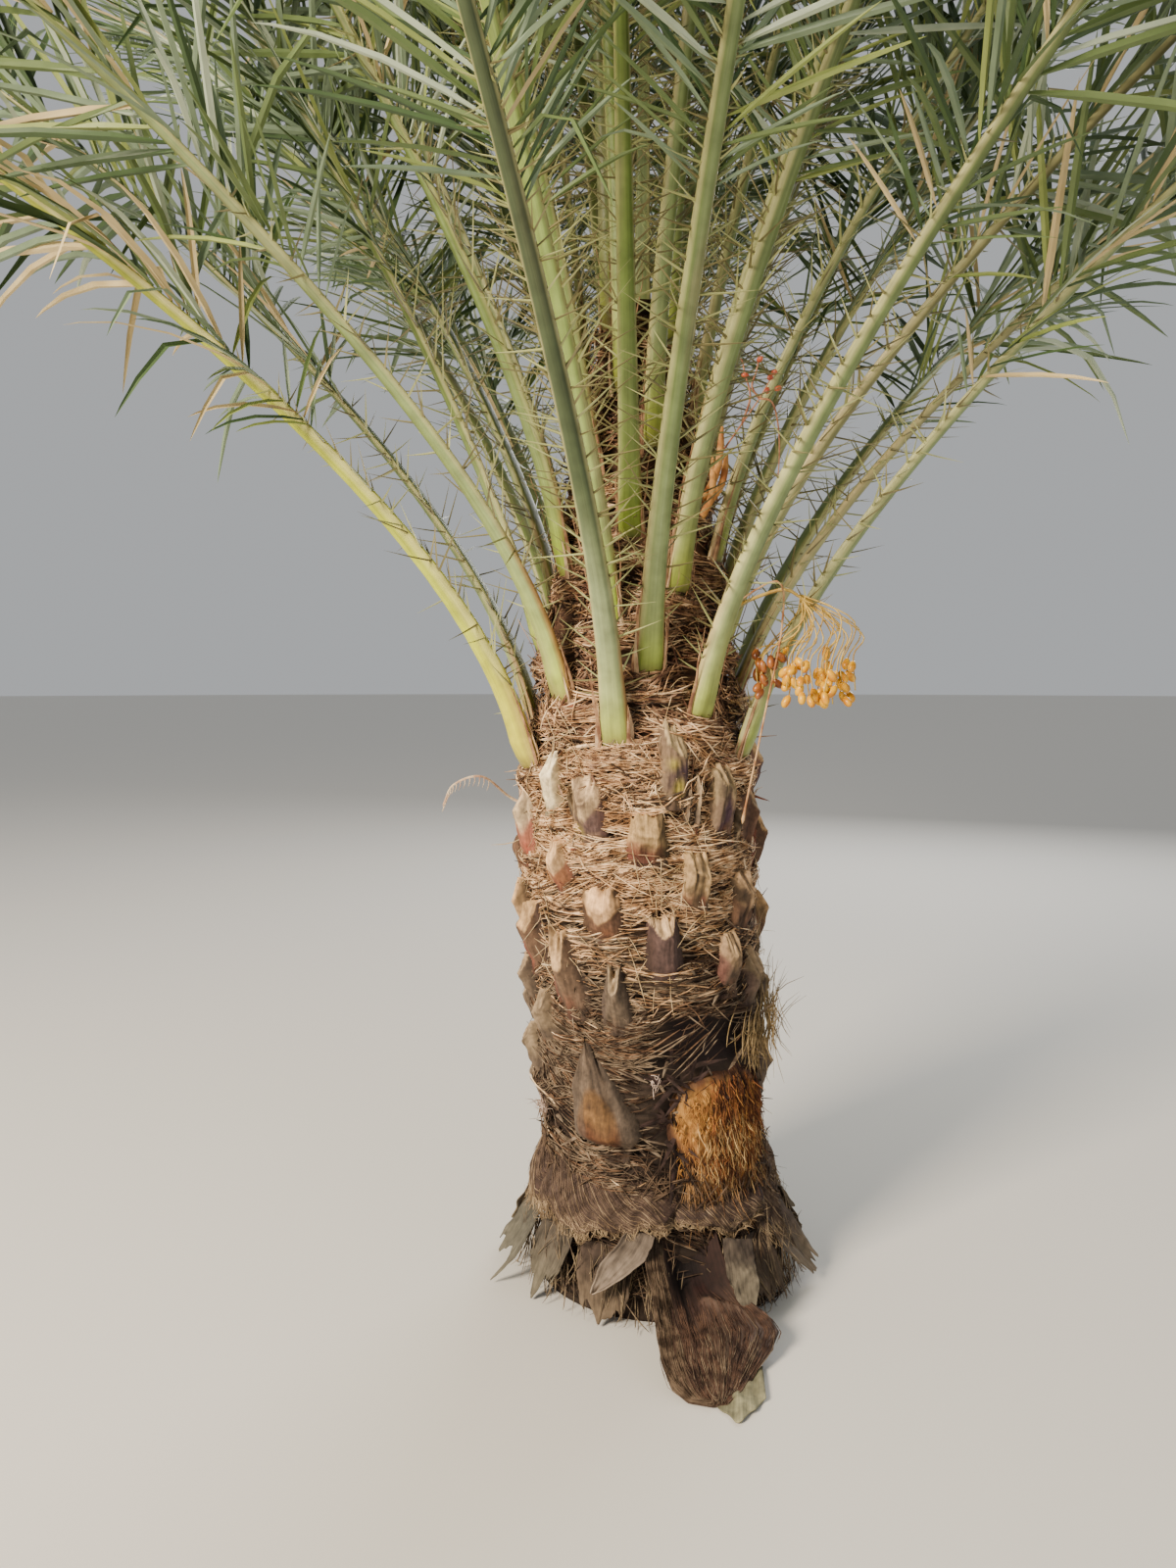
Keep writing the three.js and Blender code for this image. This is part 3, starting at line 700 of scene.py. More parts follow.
leaf_rows = leaflets()
# The deep green kind is painted shade: leaflets darkened as if in the crown's shade. The silvery kind is
# partly glaucous wax and partly a painted sky reflection.
for k, (name, material) in enumerate([
    ("grey_green_leaflets", leaf_material("waxy_leaflet_grey_green", "#84967A", "#5C7052")),
    ("olive_leaflets", leaf_material("waxy_leaflet_olive", "#6C7E4A", "#4A5E30")),
    ("deep_green_painted_shade_leaflets", leaf_material("waxy_leaflet_deep_green_painted_shade", "#4A6038", "#304526")),
    ("silvery_wax_and_painted_sheen_leaflets", leaf_material("waxy_leaflet_silvery_wax_and_painted_sheen", "#BECAB2", "#8C9D82")),
    ("yellow_green_leaflets", leaf_material("waxy_leaflet_yellow_green", "#98A45C", "#738442")),
    ("dry_straw_leaflets", leaf_material("dry_leaflet_straw", "#D6C496", "#B09A67", 0.7)),
]):
    make_piece(name, blades(leaf_rows[leaf_rows[:, -1] == k]), material, shaded_smooth=False)


# Trunk

def stub_place(n):
    """Azimuth, height of the foot and shape of cut leaf base n, by the spiral rule. Its shape is its
    half width, height, cut start, top width, lean and notch. Where none is set it is drawn."""
    turn = default_rng(650 + n)
    pointed = turn.random() < 0.2
    drawn = (STUB_HALF_WIDTH * turn.uniform(0.8, 1.1), STUB_HEIGHT * turn.uniform(0.85, 1.15),
             turn.uniform(0.25, 0.6), turn.uniform(0.34, 0.5) if pointed else turn.uniform(0.7, 0.92),
             turn.normal(0, 0.08), turn.choice([0, 0, 0.12, 0.25]))
    azimuth, height, *shape = STUB_SHAPES.get(n, (0, 0))
    return (STUB_AZIMUTH - STUB_DIVERGENCE * n + azimuth,
            FIRST_HEIGHT - STUB_RISE * n + height, shape or drawn)


def turned_by(azimuth, other):
    """The turn from other to azimuth, from -180 to 180."""
    return (np.asarray(azimuth) - other + 180) % 360 - 180


def across_scar(azimuth, z):
    """How far a spot of the trunk lies to the right of the scar's middle line."""
    return np.radians(turned_by(azimuth, SCAR_AZIMUTH)) * trunk_radius(z)


def scar_share(across, z, margin=0.0):
    """How far out a spot lies from the scar's middle, where its outline, a squarish oval grown by a
    margin, is at 1: |x / width|^2.6 + |z / height|^2.6."""
    return (np.abs(across / (SCAR_HALF_WIDTH + margin)) ** SCAR_SQUARENESS
            + np.abs((z - SCAR_HEIGHT) / (SCAR_HALF_HEIGHT + margin)) ** SCAR_SQUARENESS)


def near_scar(azimuth, z):
    """True where a cut leaf base would run into the scar."""
    return (abs(across_scar(azimuth, z)) < SCAR_HALF_WIDTH + STUB_HALF_WIDTH
            and abs(z - SCAR_HEIGHT) < SCAR_HALF_HEIGHT + 0.12)


STUBS = [(n, *stub_place(n)) for n in range(2, STUB_COUNT + 1) if n not in STUBS_LEFT_OUT]
STUBS = [stub for stub in STUBS if not near_scar(*stub[1:3])] + EXTRA_STUBS


# Hollows in the wrap: azimuth, height, half width in degrees, half height, depth.
HOLLOWS = [
    (48, 0.575, 31, 0.050, 0.034), (14, 0.41, 9, 0.11, 0.014), (-18, 0.350, 14, 0.016, 0.016),
    (-74, 0.392, 16, 0.020, 0.04), (24, 0.62, 14, 0.018, 0.012), (150, 0.33, 18, 0.02, 0.025),
    (215, 0.42, 14, 0.025, 0.02), (-26, 0.845, 6, 0.012, 0.012), (52, 0.655, 10, 0.014, 0.014),
    (-52, 0.60, 8, 0.016, 0.012),
]


def hollow(azimuth, z):
    """How deep the wrap's hollows are at a spot: the sum of their bell shapes, roughened by noise."""
    rough = 1 + 0.35 * ripple(on_trunk(azimuth, z, 0) * 26, 90, 3)
    deep = 0 * azimuth
    for a, h, wide, tall, depth in HOLLOWS:
        far = (np.abs(turned_by(azimuth, a)) / wide) ** 2.6 + (np.abs(z - h) / tall) ** 2.6
        deep = deep + depth * np.exp(-far * rough)
    return deep


# Where the wrap bulges: azimuth, height, half width, half height and depth of each swelling.
SWELLS = [(f["azimuth"], f["z"] - 0.022, 0.052, 0.034, 0.028 - 0.0003 * f["n"]) for f in forms[:OWN_FRONDS]]
SWELLS += [(azimuth, z - 0.016, 0.046, 0.018, 0.010) for _, azimuth, z, _ in STUBS]
SWELLS += [(-70, 0.452, 0.07, 0.026, 0.024), (-62, 0.62, 0.06, 0.03, 0.01)]


def swell(azimuth, z):
    """How far the wrap bulges under the leaf bases, living and cut: the largest of its bell shapes."""
    total = 0 * (np.asarray(azimuth) + z)
    for a, h, wide, tall, depth in SWELLS:
        across = np.radians(turned_by(azimuth, a)) * float(trunk_radius(h))
        total = np.maximum(total, depth * np.exp(-(across / wide) ** 2 - ((z - h) / tall) ** 2))
    return total


def trunk_core():
    """The fibre wrap under the loose strands: the trunk's profile plus low ropes, one every 17 mm, that
    run round it as a squared sine, pushed up and down by noise, with hollows and swellings. Low
    places and hollows are darker, painted shade between the strands. It fills the CAD trunk's own
    place, and is closed by a fan at each end."""
    rows, columns = 280, 264
    top = TRUNK_PROFILE[-1][0]
    z = np.linspace(0, 1, rows) * top
    azimuth = np.arange(columns) * 360 / columns
    A, Z = np.meshgrid(azimuth, z)
    spot = on_trunk(A, Z, 0)
    drift = ripple(spot * 9, 11)
    ropes = np.sin(2 * math.pi * (Z / 0.034 + 0.5 * drift + A / 360)) ** 2
    small = ripple(spot * np.array([14, 14, 90]), 12, 3)
    out = 0.004 * ropes + 0.0028 * small + 0.006 * drift + swell(A, Z)
    out = out + 0.008 * ripple(spot * 22, 13, 3) * (1 - smooth(Z, 0.12, 0.3))
    out = out * smooth(Z, 0.0, 0.04) * (1 - 0.5 * smooth(Z, 1.9, top))
    pits = hollow(A, Z)
    points = on_trunk(A, Z, out - 0.003 - pits)
    points[..., 2] = np.maximum(points[..., 2], 0)
    # Painted shade: low places between the ropes and the hollows are darker.
    deep = np.clip(0.5 + 0.5 * (0.55 * (ropes * 2 - 1) + 0.6 * small), 0, 1)
    crown = smooth(Z, 1.0, 1.25)
    low = tint(linear("#1C130D"), "#2A1B13", crown)
    high = tint(linear("#3A2E25"), tint(linear("#463324"), "#5A3E2C", crown), smooth(Z, 0.4, 0.85))
    tone = tint(tint(low, high, deep), "#1D1212", smooth(pits, 0.003, 0.02))
    count = rows * columns
    ends = np.array([[0, 0, 0], [LEAN_SHIFT, 0, top + 0.002]])
    ring = np.arange(columns)
    cap_low = np.stack([np.full(columns, count), np.roll(ring, -1), ring], -1)
    cap_high = np.stack([np.full(columns, count + 1), ring, np.roll(ring, -1)], -1)
    cap_high[:, 1:] += (rows - 1) * columns
    points = np.concatenate([points.reshape(-1, 3), ends])
    tone = np.concatenate([tone.reshape(-1, 3), np.tile(linear("#4A2E20"), (2, 1))])
    uv = np.stack([A / 360 * 1.5, Z], -1).reshape(-1, 2)
    uv = np.concatenate([uv, [[0.75, 0], [0.75, top]]])
    return points, [grid_faces(rows, columns, wrap=True), np.concatenate([cap_low, cap_high])], tone, uv


# Packed palm fibre: matt brown matting with streaks 7 mm high that run round the trunk.
bark = toned_material("packed_palm_fibre", (14.0, 150.0), 0.3, 0.85, 2.5)
add_toned("fibre_wrap", [trunk_core()], bark, ["trunk"])


# Colours of a cut leaf base: foot, face, left flank, right flank and cut. The right flank's darker
# # colour is painted shade. The top ones are fresh, with purple skin and yellow flesh, the middle ones
# # rot red-brown, the low ones are grey.
STUB_PARTS = ("foot", "face", "left", "right", "cut")
FRESH = ("#B5A03C", "#655248", "#8A6450", "#453631", "#B8986C")
MIDDLE = ("#7A4430", "#58402F", "#7A4034", "#3A2921", "#B28E62")
OLD = ("#5F4C3B", "#5C4E40", "#50433A", "#382D25", "#8E7A60")
STUB_TONES = {
    2: ("#A89A34", "#6A5644", "#76624C", "#40332E", "#A48E6A"),
    5: ("#C8B894", "#D0BE98", "#C0AC84", "#A08C68", "#DCCCA8"),
    10: ("#9A8A30", "#6A5444", "#A08460", "#4C3630", "#C0A27C"),
    15: ("#6C3A2C", "#6A4A36", "#6A3C30", "#3A2E1E", "#AE8F62"),
    18: ("#6E3C2C", "#7A5036", "#B88F66", "#643A2C", "#D0AA7C"),
    20: ("#6E4234", "#66503A", "#6E4A38", "#40342A", "#AC8E64"),
    23: ("#6A4630", "#5A4030", "#4A3626", "#3E2C20", "#C49C70"),
    7: ("#6A4A3A", "#54403A", "#7C6650", "#3A2C28", "#96805F"),
    13: ("#8E4230", "#8A5440", "#B89A78", "#6A3C30", "#BCA482"),
    12: ("#6A4A38", "#5A4234", "#7E6450", "#3A2C24", "#9A8062"),
    # Base 25, on the trunk's right side, is darker all over: painted shade.
    25: ("#5A3A2C", "#4E3A2C", "#6A4E3A", "#2E211A", "#8E7456"),
    28: ("#4A3430", "#4C3A36", "#3A2A24", "#34261F", "#B89A74"),
    POINTED: ("#55331E", "#64482A", "#4E4238", "#342921", "#4E4237"),
}
PURPLE_SKIN, YELLOW_FLESH = "#412E39", "#98893A"


def stub_tones(n):
    """The colours of cut leaf base n, from its own entry or by its height."""
    turn = default_rng(900 + n)
    rotten = smooth(n + turn.normal(0, 2.5), 6, 15)
    grey = smooth(n + turn.normal(0, 3), 24, 42)
    own = STUB_TONES.get(n)
    if own:
        return dict(zip(STUB_PARTS, map(linear, own)))
    fresh, middle, old = [np.array([linear(code) for code in tones]) for tones in (FRESH, MIDDLE, OLD)]
    return dict(zip(STUB_PARTS, mix(mix(fresh, middle, rotten), old, grey)))


def bell(a, h, place, size, power=2):
    """A bell shape on a grid: 1 at a place, and e^-1 at its half width and half height."""
    return np.exp(-((a - place[0]) / size[0]) ** 2 - ((h - place[1]) / size[1]) ** power)


def cut_leaf_base(n, azimuth, z, shape):
    """A cut leaf base: its face leans out as it rises, and a slanting cut takes its top back, so its
    proudness is the smaller of the two. Across, it is flat in the middle and falls straight to the
    fibre at both flanks. The tall pointed one is a cone with a long shallow scoop in it."""
    turn = default_rng(700 + n)
    half, tall, start, top, lean, notch = shape
    pointed = n == POINTED
    a = np.linspace(-1, 1, 27)[None]
    h = np.concatenate([[-0.25, -0.1, 0], np.linspace(0.05, 1, 26), [1.0]])[:, None]
    edge = 1 + 0.05 * field(340 + n, 3, h * 5, np.sign(a), n)
    width = half * mix(1.06, top, smooth(h, 0.1, 1.05) if top > 0.2 else np.clip(h, 0, 1) ** 1.9) * edge
    if pointed:
        width = width * mix(0.45, 1, smooth(h, -0.2, 0.08))
    across = a * width + (lean * h + 0.03 * turn.normal() * h * h) * tall
    highest = 0.040 if pointed else 0.047 * (half / STUB_HALF_WIDTH) ** 0.4
    front = mix(0.016, highest, np.clip(h / 0.7, 0, 1) ** 0.8)
    flat = STUB_FLATNESS.get(n, turn.uniform(0.05, 0.5))
    keel = turn.uniform(-0.35, 0.35) * (n not in STUB_FLATNESS)
    section = np.clip((1 - np.abs(a + keel * (1 - a * a))) / (1 - flat), 0, 1) ** 0.8
    grooves = field(40 + n, 3, a * half / STUB_HALF_WIDTH * 10 + n, h * 0.7, n * 1.3)
    chips = field(140 + n, 3, a * 3.5 + n, h * 5, n * 1.3)
    front = front * section
    cut = mix(0.054, 0.020, (h - start) / (1 - start)) + turn.normal(0, 0.007) * a + 0.0035 * chips
    if pointed:
        scoop = 0.010 * smooth(np.abs(a), 0.2, 0.75) * smooth(h, 0.05, 0.4)
        front = 0.060 * smooth(h, -0.14, 0.12) * (1 - a ** 2) ** 0.6
        cut = 0.056 * (1 - 0.8 * np.clip(h, 0, 1)) - scoop + 0.002 * chips
    crumbs = field(540 + n, 2, a * 9 + n, h * 13, n * 2.1)
    shown = smooth(front - cut, -0.001, 0.002)
    relief = 0.0026 * grooves * (1 - 0.8 * shown)
    out = np.minimum(front, cut) + relief + (0.0045 if pointed else 0.003) * crumbs
    out[-1] = -0.012
    out = out + 0.006
    out[:, 0] = np.minimum(out[:, 0], -0.008)
    out[:, -1] = np.minimum(out[:, -1], -0.008)
    torn = 1 + 0.10 * smooth(h, 0.4, 1) * field(240 + n, 3, a * 11 + n, n)
    torn = torn - notch * smooth(h, 0.2, 1) * np.exp(-((a - keel) / 0.34) ** 2)
    up = z + h * tall * torn
    points = on_trunk(azimuth, up, out) + heading(azimuth + 90) * across[..., None]
    tone = stub_colours(n, turn, a, h, start, flat, grooves, chips, crumbs, shown, front - cut)
    return points, [grid_faces(*points.shape[:2])], tone, np.stack([across + n * 0.37, up + 0 * a], -1)


def stub_colours(n, turn, a, h, start, flat, grooves, chips, crumbs, shown, past_cut):
    """A cut leaf base's tone over its grid: its face, the purple skin and yellow flesh of the fresh
    ones on their lower half, a stained foot, both flanks, and the pale cut with its bright rim. The
    right flank's darker colour is painted shade, and so is the dark band where the base sinks into
    the wrap. On some the cut is a V, and on the pointed one it is the border round a tan scoop with
    a hole painted dark as shade."""
    c = stub_tones(n)
    pointed = n == POINTED
    tone = np.broadcast_to(c["face"], (*grooves.shape, 3)).copy()
    tone = tone * (1 + (0.15 if pointed else 0.42) * grooves + (0.4 if pointed else 0.2) * crumbs)[..., None]
    fresh = 0.0 if pointed or n == BLEACHED else float(1 - smooth(n, 8, 13))
    skin = fresh * (1 - smooth(h + 0.1 * grooves, 0.34, 0.5)) * smooth(h, 0.0, 0.1)
    tone = tint(tone, PURPLE_SKIN, skin * 0.85)
    spots = smooth(chips + 0.3 * grooves, 0.3, 0.55) * (1 - smooth(h, 0.4, 0.56))
    spots = spots * (0.1 if n == GREY else 0.6)
    if n == YELLOW:
        spots = bell(a, h, (-0.4, 0.44), (0.4, 0.08)) + bell(a, h, (0.15, 0.08), (0.35, 0.13))
    tone = tint(tone, YELLOW_FLESH, np.clip(fresh * spots, 0, 0.9))
    if pointed:
        low = 1 - smooth(h + 0.10 * chips, 0.04, 0.32)
    else:
        low = 1 - smooth(h, 0.02, turn.uniform(0.14, 0.34))
        low = low * np.exp(-((a - turn.uniform(-0.5, 0.5)) / 0.3) ** 2) * (n != YELLOW)
    low = np.clip(low + 0 * a, 0, 1) * (1 if pointed else smooth(chips + 0.5 * grooves, -0.5, 0.3))
    tone = tint(tone, c["foot"], low)
    tone = tint(tone, c["left"], smooth(-a + 0.15 * grooves, 0.35, 0.8) * (1 - 0.6 * smooth(h, 0.3, 0.9)))
    # Painted shade: the right flank darkens.
    tone = tint(tone, c["right"], smooth(a + 0.15 * grooves, 0.5, 0.9))
    pale = c["cut"] * (1 + (0.45 if flat < 0.4 else 0.15) * grooves - 0.3 * chips + 0.4 * crumbs)[..., None]
    pale = tint(pale, c["right"], np.maximum(smooth(-grooves, 0.4, 0.8), smooth(chips, 0.5, 0.9)) * 0.5)
    if pointed:
        # Painted shade: a dark spot stands for a hole in the scoop.
        tone = tint(tone, "#241812", 0.8 * bell(a, h, (-0.2, 0.40), (0.15, 0.04)))
        border = smooth((a / 0.66) ** 2 + ((h - 0.20) / 0.36) ** 2 + 0.25 * chips, 0.7, 1.25)
        tone = tint(tone, pale, border * 0.92)
    else:
        upper = smooth(h + 0.12 * grooves, start - 0.25, start + 0.05) * smooth(turn.random(), 0.3, 0.6)
        wedge = 1 + 0 * a
        if n % 5 in (0, 3) and n not in STRAIGHT_CUTS:
            wedge = smooth(1.25 * (h - 0.2) / 0.6 - np.abs(a + 0.1 * chips), -0.1, 0.12)
        tone = tint(tone, pale * 0.72, np.clip(upper, 0, 1) * wedge)
        tone = tint(tone, pale, shown * wedge)
        rim = shown * wedge * (1 - smooth(past_cut, 0.002, 0.006))
        tone = tint(tone, c["cut"] * 1.15, rim * 0.6)
    if n == RED_FLANKED:
        # Its right flank is darkened further, painted shade, and its lower left is red.
        tone = tint(tone, c["right"], 0.75 * smooth(a + 0.1 * chips, 0.45, 0.7))
        tone = tint(tone, c["left"], (1 - smooth(h + 0.1 * chips, 0.3, 0.5)) * smooth(-a, 0.0, 0.5) * 0.65)
    # Painted shade: the foot darkens where the base sinks into the wrap.
    tone = tint(tone, "#2B1E17", (1 - smooth(h, -0.2, 0.05)) * 0.8)
    return np.clip(tone, 0.002, 1)


# Cut leaf base: dry, corky and matt, split into lengthwise fibres 5 mm wide, coarser than real.
cut_wood = toned_material("cut_leaf_base_tissue", (210.0, 34.0), 0.44, 0.82, 2.0, 4.0)
for name, low in [("upper_cut_leaf_bases", False), ("lower_cut_leaf_bases", True)]:
    bases = [cut_leaf_base(*stub) for stub in STUBS if (stub[0] >= FIRST_LOWER_STUB) == low]
    add_toned(name, bases, cut_wood)


def locks(turn, azimuth, z, slope, length, out, lift, sag, size=8, gap=0.0042, spread=5.0):
    """Locks of fibres: size strands side by side round each given middle, gap apart, nearly parallel
    and of uneven length. A row is azimuth, height, slope, length, how far out, lift and sag."""
    shape = (len(azimuth), size)
    step = turn.uniform(-0.5, 0.5, shape) * size * gap
    tilt = np.radians(slope)[:, None]
    sideways = turn.normal(0, 0.012, shape) - step * np.sin(tilt)
    around = azimuth[:, None] + np.degrees(sideways / trunk_radius(z)[:, None])
    rows = np.stack([
        around, z[:, None] + step * np.cos(tilt), slope[:, None] + turn.normal(0, spread, shape),
        length[:, None] * turn.uniform(0.55, 1.15, shape), out[:, None] + turn.uniform(0, 0.006, shape),
        lift[:, None] * turn.gamma(1.5, 0.6, shape), sag[:, None] + turn.normal(0, 0.003, shape)], -1)
    return rows.reshape(-1, 7)


def strands():
    """Loose fibres on the wrap, in locks, with a few single ones last. Collars lie as swags below the
    leaf bases. The others follow a slow drift of slope, steeper low on the trunk, and those of the
    crown are short."""
    turn = default_rng(21)
    sets = []
    bases = [(azimuth, z, 0.010, 8) for _, azimuth, z, _ in STUBS]
    bases += [(f["azimuth"], f["z"] + 0.012, 0.013, 12) for f in forms[:30]]
    for azimuth, z, proud, count in bases:
        low = 1 - smooth(z, 0.5, 0.7)
        sets.append(locks(
            turn, azimuth + turn.normal(0, 12, count), z + turn.uniform(-0.055, 0.002, count),
            turn.normal(0, 7 + 14 * low, count), turn.uniform(0.09, 0.23, count),
            turn.uniform(0.002, proud, count), turn.uniform(0, 0.006, count),
            turn.uniform(0.002, 0.020, count)))
    count = 960
    azimuth, z = turn.uniform(0, 360, count), turn.uniform(0.16, 1.22, count)
    flow = ripple(on_trunk(azimuth, z, 0) * 5.5, 23, 2)
    slope = flow * mix(62, 34, smooth(z, 0.55, 0.85)) + turn.normal(0, 6, count)
    sets.append(locks(turn, azimuth, z, slope, turn.uniform(0.07, 0.2, count), turn.uniform(0, 0.008, count),
                      turn.uniform(0, 0.006, count), turn.normal(0.004, 0.010, count), spread=3.5))
    count = 540
    z = 1.1 + 1.0 * turn.random(count) ** 1.25
    sets.append(locks(
        turn, turn.uniform(0, 360, count), z, turn.normal(0, 34, count), turn.uniform(0.035, 0.11, count),
        turn.uniform(0.001, 0.016, count), turn.uniform(0, 0.014, count), turn.normal(0, 0.006, count),
        6, 0.004, 14))
    count = 620
    z = turn.uniform(0.3, 1.9, count)
    sets.append(np.column_stack([
        turn.uniform(0, 360, count), z, turn.normal(0, 34, count), turn.uniform(0.04, 0.12, count),
        turn.uniform(0.006, 0.014, count), turn.gamma(1.3, 0.007, count), turn.normal(0.0, 0.008, count)]))
    return np.concatenate(sets)


def strand_tubes(rows, seed, fat=1.0):
    """Follows each fibre over the trunk: along its slope, sagging as 4t(1-t), with a slow wave. One
    end lifts off the wrap as t^3, and the fibre thins towards both ends."""
    turn = default_rng(seed)
    azimuth, z, slope, length, out, lift, sag = rows.T[:, :, None]
    shape = azimuth.shape
    t = np.linspace(0, 1, 6)[None]
    side = np.where(turn.random(shape) < 0.5, 1, -1)
    wave = turn.normal(0, 0.0026, shape)
    wave = wave * np.sin(2 * math.pi * (t * turn.uniform(0.6, 1.5, shape) + turn.random(shape)))
    run = (t - 0.5) * length
    up = z + run * np.sin(np.radians(slope)) - sag * 4 * t * (1 - t) + wave
    turned = azimuth + np.degrees(run * np.cos(np.radians(slope)) / trunk_radius(z))
    up = np.maximum(up, 0.006)
    ends = lift * np.where(side > 0, t, 1 - t) ** 3
    path = on_trunk(turned, up, out + ends + 0.003 + swell(turned, up))
    width = turn.uniform(0.0011, 0.0025, shape) * fat * (1 - 0.75 * np.abs(2 * t - 1) ** 4)
    return tubes(path, heading(turned), width, width * 0.7)


def clear_of_scar(rows):
    """True for the fibres that keep off the torn face and bridge no hollow, by a test at five spots
    along each, and for one in six of those that bridge one."""
    azimuth, z, slope, length, _, _, sag = rows.T
    reach = length * np.cos(np.radians(slope)) / 2
    rise = length * np.sin(np.radians(slope)) / 2
    kept, bridging = np.ones(len(rows), bool), np.zeros(len(rows), bool)
    for part in (-0.9, -0.45, 0, 0.45, 0.9):
        turned = azimuth + np.degrees(part * reach / trunk_radius(z))
        height = z + part * rise - sag * (1 - part ** 2)
        kept &= scar_share(across_scar(turned, height), height, 0.014) >= 1
        bridging |= hollow(turned, z + part * rise) > 0.006
    return kept & (~bridging | (default_rng(24).random(len(rows)) < 0.16))


def add_fibres(name, shape, material, tones, roughness=0.82, shaded_smooth=True):
    """A piece of fibres, shreds or dry stalks, from its points and faces, in one two-toned material."""
    made = fibre_material(material, *tones, roughness)
    return make_piece(name, shape, made, shaded_smooth=shaded_smooth)


FIBRE_KINDS = [
    ("straw_fibres", "#DDB589", "#8E6846"), ("pale_fibres", "#F8DCB4", "#C0966A"),
    ("brown_fibres", "#82634A", "#4A3424"), ("grey_fibres", "#88755F", "#41352B"),
    ("red_brown_fibres", "#A88466", "#644434"), ("dark_fibres", "#4E3A2B", "#2A1D15"),
]
fibre_rows = strands()
fibre_rows = fibre_rows[clear_of_scar(fibre_rows)]
z = fibre_rows[:, 1]
# lit and shade steer the fibres' colours: painted light on the left front, painted shade on the lower right.
lit = smooth(np.cos(np.radians(fibre_rows[:, 0] + 40)), -0.5, 0.6)
shade = smooth(np.sin(np.radians(fibre_rows[:, 0])), -0.4, 0.5) * (1 - smooth(z, 0.62, 0.84))
# The share of each kind at each fibre's height: straw and pale above, brown and grey below, red-brown
# # in the crown, and dark in the shaded lower right. More straw on the lit left front is painted
# # light; the dark fibres in the lower right are painted shade, and low on the trunk they are partly
# # old fibre and partly painted shade.
share = np.stack([
    (0.40 + 0.1 * lit) * smooth(z, 0.70 - 0.12 * lit, 0.92) * (1 - 0.55 * smooth(z, 1.12, 1.3)),
    0.34 * smooth(z, 0.72, 0.93) * (1 - 0.6 * smooth(z, 1.15, 1.35)) + 0.015,
    0.15 + 0.10 * (1 - smooth(z, 0.5, 0.8)),
    0.9 * (1 - smooth(z, 0.56, 0.92)) * (1 - 0.5 * shade) + 0.03,
    0.42 * smooth(z, 1.08, 1.25),
    0.10 + 0.36 * (1 - smooth(z, 0.4, 0.75)) + 0.5 * shade + 0.1 * smooth(z, 1.2, 1.4),
], 1)
share = np.cumsum(share / share.sum(1, keepdims=True), 1)
fibre_kind = (share < default_rng(22).random(len(z))[:, None]).sum(1)
for k, (name, *tones) in enumerate(FIBRE_KINDS):
    add_fibres(name, strand_tubes(fibre_rows[fibre_kind == k], 60 + k), "dry_" + name, tones)


# Foot: old sheaths, the torn face and the fallen sheath

def shell(points, thickness, outwards):
    """A closed thin sheet from a grid of points: the grid and a copy of it moved inwards by
    thickness along the grid's own normals, joined by a strip round the rim."""
    rows, columns = points.shape[:2]
    normal = unit(np.cross(np.gradient(points, axis=1), np.gradient(points, axis=0)))
    flip = (normal * outwards).sum() < 0
    normal = -normal if flip else normal
    under = points - normal * np.broadcast_to(thickness, (rows, columns))[..., None]
    under[..., 2] = np.maximum(under[..., 2], 0.0005)
    face = grid_faces(rows, columns).reshape(-1, 4)
    face = face if flip else face[:, ::-1]
    count = rows * columns
    index = np.arange(count).reshape(rows, columns)
    rim = np.concatenate([index[0, :-1], index[:-1, -1], index[-1, :0:-1], index[:0:-1, 0]])
    after = np.roll(rim, -1)
    strip = np.stack([rim, after, after + count, rim + count], -1)
    strip = strip[:, ::-1] if flip else strip
    return np.concatenate([points.reshape(-1, 3), under.reshape(-1, 3)]), [face, face[:, ::-1] + count, strip]


def double(values):
    """A grid's values for both faces of its shell."""
    flat = values.reshape(-1, values.shape[-1])
    return np.concatenate([flat, flat])


def toned_shell(points, thickness, outwards, tone, uv):
    """A shell with its tone and map."""
    points, faces = shell(points, thickness, outwards)
    return points, faces, double(np.clip(tone, 0.002, 1)), double(uv)


# Old leaf sheath: dry, matt and fibrous, with fine lengthwise streaks 4 mm wide, coarser than real.
old_sheath = toned_material("dry_leaf_sheath", (260.0, 14.0), 0.42, 0.86, 2.2, 2.2)

# How much one degree round the foot is.
DEGREE = 0.0045
# Sheath mats round the foot: their azimuths, top, hem height, how far the hem stands out, how much
# lower its top is at the right end than at the left, tone.
FOOT_MATS = [
    (-66, 12, 0.306, 0.216, 0.044, 0.10, "#46372F"), (50, 118, 0.290, 0.150, 0.030, 0.0, "#463830"),
    (100, 176, 0.352, 0.200, 0.042, 0.0, "#524236"), (160, 236, 0.310, 0.165, 0.042, 0.0, "#4A3C32"),
    (222, 300, 0.340, 0.190, 0.046, 0.0, "#504136"), (4, 62, 0.258, 0.224, 0.026, 0.0, "#3C2F2A"),
]


